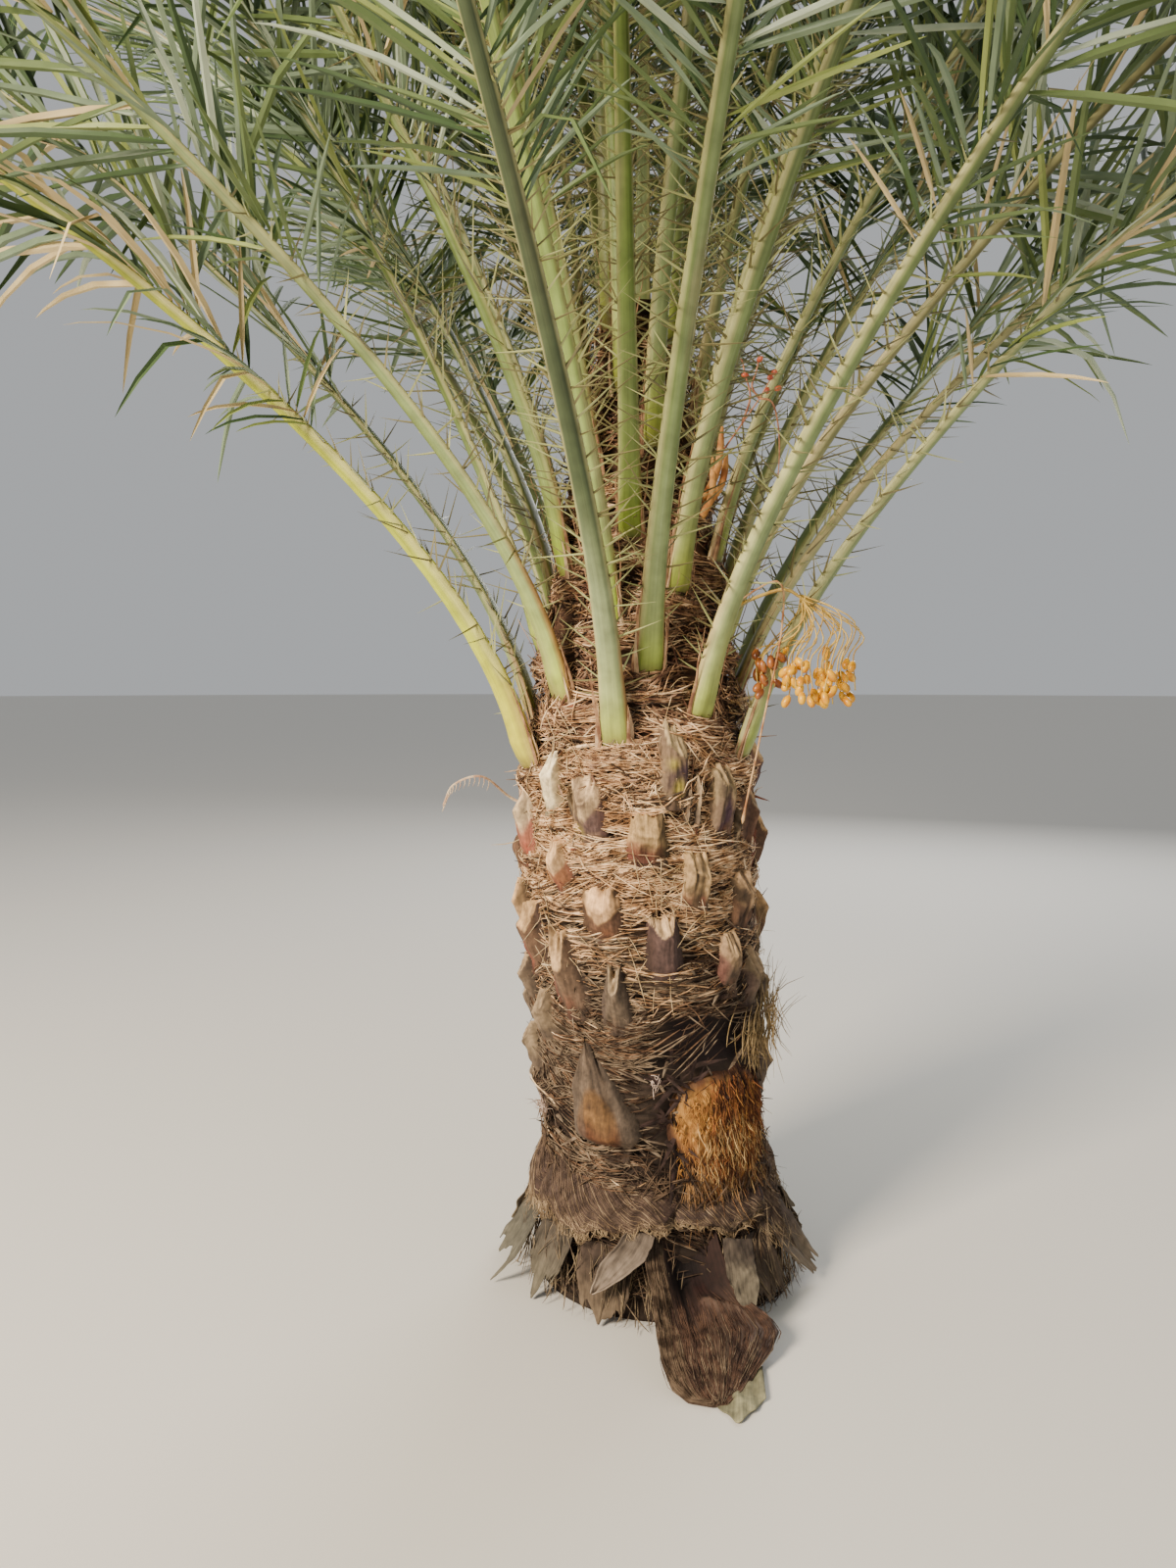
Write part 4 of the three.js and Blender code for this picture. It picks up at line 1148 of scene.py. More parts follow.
def mat_place(k, v, h):
    """Azimuth, height and outset of a spot of mat k, v from its left to its right and h from its top
    to its hem: it hangs down and out, with low folds, and its hem is torn at uneven heights."""
    left, right, top, hem, proud, tilt, _ = FOOT_MATS[k]
    across = mix(left, right, v) * DEGREE
    wave = field(1210 + k, 3, across * 9, k)
    teeth = field(1220 + k, 3, across * 60, k)
    crown = field(1230 + k, 3, across * 14, k)
    edge = hem + 0.016 * wave + 0.013 * teeth - 0.02 * np.sin(math.pi * np.clip(v, 0, 1))
    z = mix(top + 0.022 * crown - tilt * (v - 0.5), edge, np.sign(h) * np.abs(h) ** 0.9)
    sides = np.minimum(smooth(v, 0, 0.1), smooth(1 - v, 0, 0.1))
    folds = field(1240 + k, 3, across * 16 + h * 1.6, h * 2.0, k)
    out = 0.004 + (proud * smooth(h, 0, 0.85) + 0.008 * folds * smooth(h, 0.05, 0.5)) * mix(0.25, 1, sides)
    azimuth = mix(left, right, v) + 4 * field(1250 + k, 2, h * 3, k) * (np.abs(v - 0.5) * 2) ** 3
    return azimuth, z, out, folds


def foot_mat(k):
    """The sheet of mat k, paler at its torn hem and darker to its right, painted shade. Its streaks
    lie at 34 degrees, so its map is turned by that."""
    left, right, *_, code = FOOT_MATS[k]
    columns = int((right - left) * 1.1)
    h, v = np.meshgrid(np.linspace(0, 1, 28), np.linspace(0, 1, columns), indexing="ij")
    azimuth, z, out, folds = mat_place(k, v, h)
    tone = linear(code) * (1 + 0.3 * folds)[..., None]
    tone = tint(tone, "#75614F", smooth(h, 0.84, 1) * 0.5)
    # Painted shade: each mat darkens towards its right, below its top.
    tone = tint(tone, "#33231F", smooth(v, 0.4, 0.75) * smooth(h, 0.0, 0.4) * 0.7)
    lay = math.radians(34)
    x = mix(left, right, v) * DEGREE
    uv = np.stack([x * math.cos(lay) + z * math.sin(lay), z * math.cos(lay) - x * math.sin(lay)], -1)
    return toned_shell(on_trunk(azimuth, z, out), 0.0028, heading(azimuth), tone, uv)


add_toned("foot_sheath_mats", [foot_mat(k) for k in range(len(FOOT_MATS))], old_sheath)


def thread_width(turn, count, t):
    """Half the width of each thread along it: 0.6 to 1.3 mm, thinned at both ends by |2t - 1|^4."""
    return turn.uniform(0.0006, 0.0013, count)[:, None] * (1 - 0.7 * np.abs(2 * t - 1) ** 4)


def mat_threads(slope, count, lengths, seed, over, hems=False):
    """The mats' own threads: parallel fibres that cross each mat at a slope, and where hems is set
    short ones that hang free from the torn hem. Count is for a mat 76 degrees wide."""
    paths, ups, widths = [], [], []
    t = np.linspace(0, 1, 6)
    for k, (left, right, top, hem, *_) in enumerate(FOOT_MATS):
        turn = default_rng(seed + k)
        number = int(count * (right - left) / 76)
        wide, tall = (right - left) * DEGREE, top - hem
        length = turn.uniform(*lengths, number)
        way = np.radians(slope + turn.normal(0, 3.5 if not hems else 26, number))
        across = length * np.cos(way) / wide
        v0 = turn.uniform(0, 1, number) * (1 - np.abs(across)) + np.maximum(-across, 0)
        h0 = turn.uniform(0.82, 1.0, number) if hems else turn.uniform(-0.05, 1.0, number)
        bend = turn.normal(0, 0.012, number)[:, None] * np.sin(math.pi * t)
        v = v0[:, None] + across[:, None] * t + bend
        h = h0[:, None] + (length * np.sin(way) / tall)[:, None] * t
        azimuth, z, out, _ = mat_place(k, np.clip(v, 0, 1), np.minimum(h, 1.25 if hems else 1.06))
        lift = turn.gamma(1.2, 0.005 if hems else 0.0012, number)[:, None] * t ** 3
        paths.append(on_trunk(azimuth, np.maximum(z, 0.008), out + over + lift))
        ups.append(heading(azimuth))
        widths.append(thread_width(turn, number, t))
    width = np.concatenate(widths)
    return tubes(np.concatenate(paths), np.concatenate(ups), width, width * 0.7)


for name, tones, values in [
    ("mat_threads", ("#695647", "#42342C"), (34, 380, (0.05, 0.14), 1260, 0.0008)),
    ("mat_cross_threads", ("#544236", "#33261F"), (-52, 120, (0.03, 0.08), 1270, 0.0004)),
    ("pale_mat_threads", ("#A18B70", "#756049"), (36, 34, (0.05, 0.12), 1280, 0.0018)),
    ("hem_threads", ("#A08A6C", "#67543F"), (82, 240, (0.02, 0.06), 1290, 0.0008, True)),
]:
    add_fibres(name, mat_threads(*values), "dry_" + name, tones)

# Sheath flaps: foot of the middle line on the trunk (azimuth, height, outset), a bend and the tip,
# half width, cup, how ragged the end is, tone at the foot and tone at the tip.
FLAPS = [
    ((-7, 0.196, 0.046), (-12, 0.150, 0.084), (-24, 0.076, 0.084), 0.038, 0.012, 0.0, "#564B41", "#7C6E60"),
    ((-76, 0.165, 0.030), (-77, 0.085, 0.060), (-74, 0.006, 0.120), 0.066, 0.010, 0.45, "#4E4A40", "#6A6556"),
    ((-50, 0.170, 0.026), (-51, 0.085, 0.048), (-53, 0.006, 0.070), 0.058, 0.012, 0.45, "#443C33", "#5E5748"),
    ((-24, 0.150, 0.020), (-24, 0.080, 0.038), (-22, 0.006, 0.050), 0.056, 0.008, 0.40, "#3C3028", "#5A4C3C"),
    ((46, 0.150, 0.020), (46, 0.080, 0.036), (46, 0.006, 0.054), 0.052, 0.008, 0.40, "#3E322A", "#584A3B"),
    ((68, 0.170, 0.026), (70, 0.085, 0.052), (74, 0.006, 0.090), 0.060, 0.014, 0.45, "#4C4038", "#70624F"),
    ((96, 0.180, 0.026), (98, 0.100, 0.050), (108, 0.030, 0.070), 0.050, 0.014, 0.50, "#483C31", "#68594A"),
    ((122, 0.170, 0.030), (124, 0.090, 0.070), (128, 0.006, 0.130), 0.050, 0.016, 0.25, "#54483C", "#766A56"),
    ((150, 0.170, 0.024), (150, 0.100, 0.046), (145, 0.045, 0.058), 0.062, 0.014, 0.50, "#42372D", "#62543F"),
    ((178, 0.190, 0.030), (180, 0.100, 0.080), (187, 0.006, 0.150), 0.052, 0.018, 0.20, "#52463B", "#7A6E59"),
    ((204, 0.165, 0.024), (204, 0.100, 0.044), (199, 0.055, 0.054), 0.058, 0.014, 0.50, "#44392F", "#625645"),
    ((230, 0.175, 0.026), (230, 0.090, 0.056), (223, 0.006, 0.104), 0.046, 0.014, 0.35, "#4E4236", "#70634F"),
    ((256, 0.180, 0.030), (256, 0.100, 0.056), (247, 0.022, 0.086), 0.066, 0.016, 0.50, "#524639", "#72664F"),
]


def petal(foot, bend, tip, half, cup, ragged, code, tip_code, seed):
    """A sheath flap: its middle line is a curve with one bend point, its width swells and narrows to
    a point, or where it is ragged ends in uneven strips. It is cupped, creased and crumpled."""
    t, v = np.meshgrid(np.linspace(0, 1, 36), np.linspace(-1, 1, 23), indexing="ij")
    strips = field(seed + 2, 3, v * 5, seed * 1.7)
    t = t * (1 - ragged * np.clip(0.5 + 0.6 * strips, 0, 1))
    a, b, c = [on_trunk(*p) for p in (foot, bend, tip)]
    middle = a * ((1 - t) ** 2)[..., None] + b * (2 * t * (1 - t))[..., None] + c * (t ** 2)[..., None]
    azimuth = mix(foot[0], tip[0], t)
    side, out = heading(azimuth + 90), heading(azimuth)
    pointed = np.interp(t, [0, 0.15, 0.4, 0.7, 0.9, 1], [0.8, 0.95, 1, 0.74, 0.34, 0.03])
    blunt = np.interp(t, [0, 0.2, 0.5, 0.8, 1], [0.9, 1.0, 0.98, 0.82, 0.6])
    shape = mix(pointed, blunt, min(1, ragged * 3))
    crease = field(seed, 4, t * 4, v * 2.2, seed * 3.1)
    ribs = field(seed + 3, 2, t * 1.5, v * 16, seed)
    width = half * shape * (1 + 0.12 * field(seed + 1, 3, t * 14, np.sign(v), seed))
    rise = cup * (v ** 2 - 0.4) * (1 - 0.6 * t) + 0.010 * crease * smooth(t, 0, 0.3) + 0.0012 * ribs
    points = middle + side * (v * width)[..., None] + out * rise[..., None]
    points[..., 2] += 0.006 * (v ** 2) * t + 0.004 * crease * t
    points[..., 2] = np.maximum(points[..., 2], 0.0035)
    tone = tint(linear(code), tip_code, smooth(t, 0.1, 0.9)) * (1 + 0.3 * crease + 0.22 * ribs)[..., None]
    return toned_shell(points, 0.002, out, tone, np.stack([v * half + seed * 0.31, t * 0.25], -1))


flaps = [petal(*flap, 1400 + k) for k, flap in enumerate(FLAPS)]
add_toned("foot_sheath_flaps", flaps, old_sheath)


# The fallen sheath's outline: how far along it, and half its width there to the left and right.
SHEATH_LEFT = np.array([
    (0, 0.070), (0.15, 0.088), (0.45, 0.100), (0.7, 0.098), (0.85, 0.083), (0.94, 0.055), (1, 0.014),
]).T
SHEATH_RIGHT = np.array([
    (0, 0.072), (0.15, 0.072), (0.28, 0.080), (0.38, 0.112), (0.48, 0.152), (0.56, 0.158), (0.66, 0.132),
    (0.78, 0.090), (0.9, 0.056), (1, 0.014),
]).T


def sheath_place(t, v):
    """A spot of the fallen sheath, t from the trunk to its end and v from its left to its right edge:
    it falls as (1 - t)^1.6 to lie forward on the ground. Near the trunk it is a hollow scoop. Past a
    torn ridge half way down, a lobe spreads to the right."""
    width = np.where(v < 0, np.interp(t, *SHEATH_LEFT), np.interp(t, *SHEATH_RIGHT))
    width = width * (1 + 0.05 * field(1502, 3, t * 11, np.sign(v), 0))
    crease = field(1500, 4, v * 2.4, t * 3.5, 0)
    ridges = field(1501, 3, v * 24, t * 1.2, 0)
    slant = 0.10 * (v - 0.4)
    torn = np.exp(-((t - 0.40 - slant) / 0.035) ** 2) * smooth(v, 0.0, 0.25) * smooth(-v, -0.85, -0.6)
    dent = 0.046 * bell(t, v, (0.20, 0.12), (0.17, 0.6), 4)
    rolled = np.where(v < 0, 0.026, 0.020 * (1 - smooth(t, 0.25, 0.4)))
    rise = rolled * np.abs(v) ** 2 * (1 - smooth(t, 0.6, 1))
    rise = rise + 0.006 * crease * smooth(t, 0, 0.3) * (1 - smooth(t, 0.8, 1))
    rise = rise + 0.0014 * ridges - 0.7 * dent + 0.012 * torn
    rise = rise + 0.020 * (1 - v ** 2) * smooth(t, 0.45, 0.65) * (1 - smooth(t, 0.75, 1))
    crumple = field(1503, 3, v * 6, t * 16, 0)
    rise = rise + 0.009 * crumple * np.exp(-((t - 0.40) / 0.11) ** 2) * smooth(v, -0.2, 0.2)
    start = on_trunk(SHEATH_AZIMUTH - 2, SHEATH_TOP, 0)
    start[2] = 0
    out, side = heading(SHEATH_AZIMUTH - 4 * smooth(t, 0.2, 1)), heading(SHEATH_AZIMUTH + 90)
    points = start + out * (0.345 * t - 0.012 - 0.5 * dent)[..., None] + side * (v * width)[..., None]
    points[..., 2] = np.maximum(SHEATH_TOP * (1 - np.clip(t, 0, 1)) ** 1.6 + rise, 0.0045)
    return points, crease, ridges, torn


def fallen_sheath():
    """The big old sheath on the ground: brown where it lies open and paler at its end, with a darker
    left edge, a dark red hollow near the trunk, a dark right flank beside it, dark holes below its
    torn ridge, a paler torn ridge and a greyer lobe to the right. The hollow's red is its own colour
    and its darkness painted shade, the holes are painted shade rather than cut, and the ridge's
    paleness is partly torn fibre and partly a painted highlight."""
    t, v = np.meshgrid(np.linspace(0, 1, 96), np.linspace(-1, 1, 67), indexing="ij")
    points, crease, ridges, torn = sheath_place(t, v)
    lobe = smooth(v, 0.15, 0.7) * smooth(t, 0.42, 0.55) * (1 - smooth(t, 0.68, 0.85))
    slant = 0.10 * (v - 0.4)
    holes = smooth(crease + 0.4 * ridges, -0.4, 0.4) * np.exp(-((t - 0.46 - slant) / 0.028) ** 2)
    holes = holes * smooth(v, 0.0, 0.15) * smooth(-v, -0.7, -0.5)
    tone = tint(linear("#48352C"), "#554235", smooth(t, 0.15, 0.6))
    for code, amount in [
        ("#50423C", lobe),
        ("#5E4A38", smooth(t, 0.62, 0.85) * 0.7),
        ("#3C2C23", smooth(-v, 0.4, 0.8) * 0.8),
        ("#3E2422", 0.6 * bell(t, v, (0.36, -0.05), (0.1, 0.4))),
        # Painted shade: the near-black hollow near the trunk.
        ("#170B0A", 0.95 * bell(t, v, (0.16, 0.1), (0.17, 0.66), 4)),
        ("#3A1310", 0.6 * bell(t, v, (0.26, 0.32), (0.06, 0.3))),
        ("#2A1916", 0.85 * smooth(v, 0.25, 0.55) * (1 - smooth(t, 0.26, 0.38))),
        # Painted shade: the holes below the torn ridge are painted dark, not cut.
        ("#1C0E0C", holes * 0.9),
        # Partly torn fibre and partly painted highlight: the paler torn ridge.
        ("#7A6252", torn * 0.5),
    ]:
        tone = tint(tone, code, amount)
    tone = tone * (1 + 0.34 * ridges + 0.28 * crease)[..., None]
    # Painted shade: the hollow scoop near the trunk is darkened further.
    tone = tone * (0.92 - 0.56 * bell(t, v, (0.20, 0.15), (0.2, 0.62), 4))[..., None]
    uv = np.stack([v * 0.09, t * 0.42], -1)
    return toned_shell(points, 0.005 - 0.003 * t, np.array([0, -0.3, 1.0]), tone, uv)


def loose_sheath(corners, code, tip_code, seed, crumple, ragged, point):
    """A loose crumpled piece of sheath over four corners, with a torn far edge: corners run from the
    near left and near right to the far left and far right, and point is where its end is longest."""
    t, v = np.meshgrid(np.linspace(0, 1, 44), np.linspace(0, 1, 31), indexing="ij")
    strips = field(seed, 3, v * 7, seed)
    t = t * (1 - ragged * np.clip(0.4 + 0.5 * strips, 0, 1) - 0.9 * np.abs(v - point) ** 1.5)
    a, b, c, d = [np.array(p) for p in corners]
    points = mix(mix(a, b, v[..., None]), mix(c, d, v[..., None]), t[..., None])
    crease = field(seed + 1, 4, t * 6, v * 4, seed)
    ribs = field(seed + 2, 3, t * 1.2, v * 18, seed)
    points = points + crumple * crease[..., None] * np.array([0.3, -0.4, 1.0])
    points[..., 2] = np.maximum(points[..., 2] + 0.0012 * ribs, 0.004)
    tone = tint(linear(code), tip_code, smooth(t + 0.25 * crease, 0.0, 0.8))
    tone = tone * (1 + 0.35 * crease + 0.2 * ribs)[..., None]
    # Painted shade: the low creases are darkened.
    tone = tint(tone, "#2C211C", smooth(-crease, 0.35, 0.8) * 0.6)
    uv = np.stack([v * 0.1 + seed * 0.17, t * 0.15], -1)
    return toned_shell(points, 0.002, np.array([0, -0.2, 1.0]), tone, uv)


add_toned("fallen_leaf_sheath", [fallen_sheath()], old_sheath, ["fallen_sheath"])
add_toned("torn_sheath_pieces", [
    loose_sheath([
        (0.100, -0.462, 0.008), (0.190, -0.450, 0.008), (0.084, -0.612, 0.005), (0.180, -0.630, 0.005),
    ], "#5E5A44", "#827E62", 1521, 0.008, 0.15, 0.45),
    loose_sheath([
        (0.122, -0.272, 0.176), (0.186, -0.262, 0.180), (0.140, -0.362, 0.050), (0.200, -0.350, 0.045),
    ], "#3C332C", "#5C5446", 1520, 0.009, 0.20, 0.6),
], old_sheath)


def sheath_threads(count, seed, start, side, lengths, lift):
    """Fibres on the fallen sheath, along its length, past start: side gives the range of v that they
    lie in. Each drifts and bows a little to a side, and its far end lifts as u^3."""
    turn = default_rng(seed)
    u = np.linspace(0, 1, 7)
    length = turn.uniform(*lengths, count)
    t = turn.uniform(start, 0.97, count)[:, None] - length[:, None] / 2 + length[:, None] * u
    v = turn.uniform(*side, count)[:, None] + turn.normal(0, 0.05, count)[:, None] * u
    v = v + turn.normal(0, 0.02, count)[:, None] * np.sin(math.pi * u)
    points = sheath_place(np.clip(t, 0.0, 0.995), v)[0]
    points[..., 2] += 0.0008 + turn.gamma(1.2, lift, count)[:, None] * u ** 3
    width = thread_width(turn, count, u)
    return tubes(points, np.array([0, 0, 1.0]), width, width * 0.7)


for name, tones, values in [
    ("sheath_edge_fibres", ("#6E5C4A", "#403226"), (260, 1530, 0.1, (-1.02, -0.6), (0.12, 0.42), 0.003)),
    ("sheath_face_fibres", ("#5E4638", "#362620"), (440, 1531, 0.40, (-0.8, 0.98), (0.06, 0.26), 0.0012)),
    ("sheath_grey_fibres", ("#82705C", "#544436"), (90, 1532, 0.55, (-0.6, 1.0), (0.08, 0.24), 0.003)),
]:
    add_fibres(name, sheath_threads(*values), "dry_" + name, tones)


def dome(x, z):
    """How far the torn face stands out: a low dome with a flatter middle."""
    return SCAR_PROUD + SCAR_DOME * np.clip(1 - scar_share(x, z), 0, 1) ** 0.7


def torn_face():
    """The torn face of the cut offshoot: a low dome on the trunk, rough with torn fibre bundles that
    run down it. Its upper left is orange-yellow and granular, its right and lower parts red-brown.
    The dark lines between the bundles and the dark rim round its edge are painted shade."""
    rings, spokes, squareness = 52, 120, SCAR_SQUARENESS
    share, angle = np.meshgrid(np.linspace(0.02, 1.05, rings), np.arange(spokes) * 2 * math.pi / spokes,
                               indexing="ij")
    across, up = np.cos(angle), np.sin(angle)
    ragged = 1 + 0.06 * field(1603, 3, across * 5, up * 5)
    ragged = ragged / (np.abs(across) ** squareness + np.abs(up) ** squareness) ** (1 / squareness)
    z = SCAR_HEIGHT + SCAR_HALF_HEIGHT * share * ragged * up
    x = SCAR_HALF_WIDTH * share * ragged * across
    azimuth = SCAR_AZIMUTH + np.degrees(x / trunk_radius(z))
    bundles = field(1600, 3, x * 240, z * 36, 0)
    lumps = field(1601, 3, x * 38, z * 38, 0)
    grains = field(1602, 2, x * 330, z * 330, 0)
    right = smooth(x + 0.018 * lumps, -0.03, 0.03)
    low = smooth(-(z - SCAR_HEIGHT) + 0.018 * lumps, 0.005, 0.085)
    rough = np.maximum(right, low)
    edge = 1 - smooth(share, 0.9, 1.05)
    out = dome(x, z) + 0.0045 * bundles * mix(0.35, 1, rough)
    out = out + 0.0025 * grains * (1 - 0.7 * rough) + 0.007 * lumps
    points = on_trunk(azimuth, z, out * edge - 0.012 * (1 - edge))
    tone = tint(linear("#AE7E40"), "#966430", smooth(lumps, -0.5, 0.6))
    for colour, amount in [
        ("#C49658", smooth(grains + 0.5 * bundles, 0.3, 0.9) * 0.7),
        ("#7A4520", smooth(-grains, 0.3, 0.9) * 0.6),
        (tint(linear("#54301E"), "#8C6038", smooth(bundles, -0.1, 0.8)), rough * 0.92),
        # Painted shade: dark between the fibre bundles, in their low places.
        ("#2C1812", smooth(-bundles, 0.1, 0.7) * 0.75 * mix(0.4, 1, rough)),
        # Painted shade: the dark rim where the face drops to the trunk.
        ("#2E1A18", smooth(share + 0.06 * lumps, 0.8, 0.98) * 0.85),
    ]:
        tone = tint(tone, colour, amount)
    middle = on_trunk(SCAR_AZIMUTH, SCAR_HEIGHT, SCAR_PROUD + SCAR_DOME)[None]
    points = np.concatenate([points.reshape(-1, 3), middle])
    tone = np.concatenate([tone.reshape(-1, 3), linear("#A87030")[None]])
    uv = np.concatenate([np.stack([x, z], -1).reshape(-1, 2), [[0, SCAR_HEIGHT]]])
    first = np.arange(spokes)
    fan = np.stack([np.full(spokes, rings * spokes), first, np.roll(first, -1)], -1)
    return points, [grid_faces(rings, spokes, wrap=True)[..., ::-1], fan], np.clip(tone, 0.002, 1), uv


# Torn inner tissue: moist orange wood, matt, with rough fibre streaks about 3 mm wide.
torn_tissue = toned_material("torn_orange_palm_tissue", (330.0, 40.0), 0.4, 0.82, 2.5, 2.6)
add_toned("torn_offshoot_face", [torn_face()], torn_tissue, ["offshoot_scar"])


def torn_fibres(count, seed, spread, drop, lengths, lift):
    """Fibres torn out of the face: they start on its dome and run down it, the low ones hanging free
    below it in slow curves."""
    turn = default_rng(seed)
    x = turn.uniform(*spread, count) * SCAR_HALF_WIDTH
    rim = 1 - np.abs(x / SCAR_HALF_WIDTH / 1.02) ** SCAR_SQUARENESS
    rim = np.clip(rim, 0, 1) ** (1 / SCAR_SQUARENESS)
    z = SCAR_HEIGHT + SCAR_HALF_HEIGHT * turn.uniform(*drop, count) * rim
    length = turn.uniform(*lengths, count)
    t = np.linspace(0, 1, 7)
    lean = turn.normal(0, 0.18, count)
    wave = turn.normal(0, 0.003, count)[:, None]
    bends, start = turn.uniform(3, 8, count)[:, None], turn.uniform(0, 6, count)[:, None]
    wave = wave * np.sin(t * bends + start)
    sideways = x[:, None] + length[:, None] * (lean[:, None] * t) + wave
    height = z[:, None] - length[:, None] * t
    out = dome(sideways, height) + turn.uniform(0, 0.005, count)[:, None]
    out = out + turn.gamma(1.2, lift, count)[:, None] * t ** 2
    azimuth = SCAR_AZIMUTH + np.degrees(sideways / trunk_radius(height))
    path = on_trunk(azimuth, np.maximum(height, 0.01), out)
    width = turn.uniform(0.0007, 0.0017, count)[:, None] * (1 - 0.7 * t ** 3)
    return tubes(path, heading(azimuth), width, width * 0.8)


for name, tones, values in [
    ("orange_torn_fibres", ("#B98544", "#85562C"),
     (380, 1610, (-0.9, 0.6), (-0.98, 0.8), (0.012, 0.045), 0.003)),
    ("rust_torn_fibres", ("#8E5830", "#54301C"),
     (900, 1611, (-0.4, 0.98), (-1.0, 0.9), (0.02, 0.075), 0.004)),
    ("cream_torn_fibres", ("#CCAA74", "#96764C"),
     (330, 1612, (-0.6, 0.95), (-1.0, 0.3), (0.02, 0.08), 0.005)),
    ("dark_torn_fibres", ("#3E241A", "#20120E"),
     (420, 1614, (-0.3, 1.0), (-0.9, 1.0), (0.02, 0.06), 0.003)),
    ("hanging_torn_fibres", ("#A47E54", "#664630"),
     (420, 1613, (-0.8, 0.9), (-1.05, -0.6), (0.05, 0.125), 0.006)),
]:
    add_fibres(name, torn_fibres(*values), "moist_" + name, tones, 0.75)


def spread_strands(name, spots, tones, seed, fat):
    """Strands in a few tufts. Each tuft gives its azimuth, height, spreads, slope and its spread,
    lengths, how far out, how far the ends lift and its count."""
    turn = default_rng(seed)
    sets = []
    for azimuth, z, wide, tall, slope, turned, lengths, out, lift, count in spots:
        sets.append(np.column_stack([
            turn.normal(azimuth, wide, count), turn.normal(z, tall, count), turn.normal(slope, turned, count),
            turn.uniform(*lengths, count), turn.uniform(*out, count), turn.gamma(1.6, lift / 1.6, count),
            turn.normal(0, 0.006, count)]))
    return add_fibres(name, strand_tubes(np.concatenate(sets), seed + 1, fat), "dry_" + name, tones)


spread_strands("right_edge_tuft", [
    (84, 0.58, 7, 0.03, 82, 14, (0.10, 0.2), (0.01, 0.05), 0.03, 70),
    (66, 0.56, 7, 0.03, 70, 26, (0.06, 0.14), (0.004, 0.02), 0.012, 60),
], ("#A88F66", "#75603F"), 1701, 0.75)


def spots_round(seed, count, low, high):
    """Random azimuths and heights of tufts all round the trunk, between two heights."""
    return zip(default_rng(seed).uniform(0, 360, count),
               default_rng(seed + 1).uniform(low, high, count))


spread_strands("stray_fibres", [
    (turned, z, 8, 0.05, 40, 60, (0.05, 0.13), (0.008, 0.02), 0.018, 9)
    for turned, z in spots_round(5, 30, 0.66, 1.3)
], ("#D6BE96", "#9C835F"), 1703, 0.6)
# None of these where the fallen sheath hangs from the foot.
spread_strands("foot_fibres", [
    (turned, z, 9, 0.03, 30, 60, (0.05, 0.14), (0.002, 0.02), 0.006, 26)
    for turned, z in spots_round(8, 64, 0.03, 0.3)
    if not (turned < 32 and z < 0.22)
], ("#665240", "#33261D"), 1705, 1.1)
spread_strands("skirt_fibres", [
    (turned, 0.085, 4, 0.03, 90, 16, (0.06, 0.15), (0.015, 0.05), 0.010, 7)
    for turned in np.linspace(28, 362, 68)
], ("#8C7A60", "#54463A"), 1707, 0.8)
spread_strands("pale_fluff", [
    (-80, 0.378, 5, 0.012, 20, 80, (0.012, 0.035), (0.0, 0.02), 0.010, 70),
    (3, 0.500, 1.5, 0.008, 20, 60, (0.01, 0.02), (0.0, 0.010), 0.004, 16),
], ("#C6B0A2", "#967E70"), 1709, 0.7)


def shreds(count, seed, heights, slope_spread, lift, wide, around=(0, 360)):
    """Torn flat bits of sheath between the leaf bases: short strips, one end caught in the wrap and
    the other lifted off it by a gamma-spread amount that grows as t^1.5."""
    turn = default_rng(seed)
    z = mix(heights[0], heights[1], turn.random(count) ** 1.2)
    length = turn.uniform(0.025, 0.085, count)
    slope = turn.normal(0, slope_spread, count)
    t = np.linspace(0, 1, 6)
    hand = turn.choice([-1, 1], count)[:, None]
    run = length[:, None] * t * np.cos(np.radians(slope))[:, None] * hand
    up = z[:, None] + length[:, None] * t * np.sin(np.radians(slope))[:, None]
    azimuth = turn.uniform(*around, count)[:, None] + np.degrees(run / trunk_radius(z)[:, None])
    out = 0.006 + swell(azimuth, up) + turn.gamma(1.4, lift / 1.4, count)[:, None] * t ** 1.5
    path = on_trunk(azimuth, up, out)
    width = turn.uniform(*wide, count)[:, None] * np.interp(t, [0, 0.3, 0.8, 1], [0.8, 1, 0.6, 0.1])
    tilt = heading(azimuth) + turn.normal(0, 0.6, (count, 1, 3))
    return tubes(path, tilt, width, 0.0006 + 0 * width)


for name, tones, values in [
    ("pinkish_shreds", ("#A4846C", "#705242"), (560, 1801, (1.12, 1.95), 40, 0.014, (0.002, 0.0055))),
    ("tan_shreds", ("#D6B58C", "#A28262"), (460, 1802, (0.7, 1.8), 35, 0.012, (0.0018, 0.0045))),
    ("rust_shreds", ("#86503C", "#583428"), (130, 1803, (0.9, 1.7), 45, 0.012, (0.0018, 0.005))),
    ("grey_shreds", ("#7C6C5A", "#4C3E32"), (320, 1804, (0.3, 1.1), 50, 0.012, (0.002, 0.006))),
    ("purple_shreds", ("#3C2C28", "#221814"), (70, 1805, (0.3, 0.56), 70, 0.014, (0.003, 0.008), (6, 24))),
]:
    add_fibres(name, shreds(*values), "torn_" + name, tones, shaded_smooth=False)


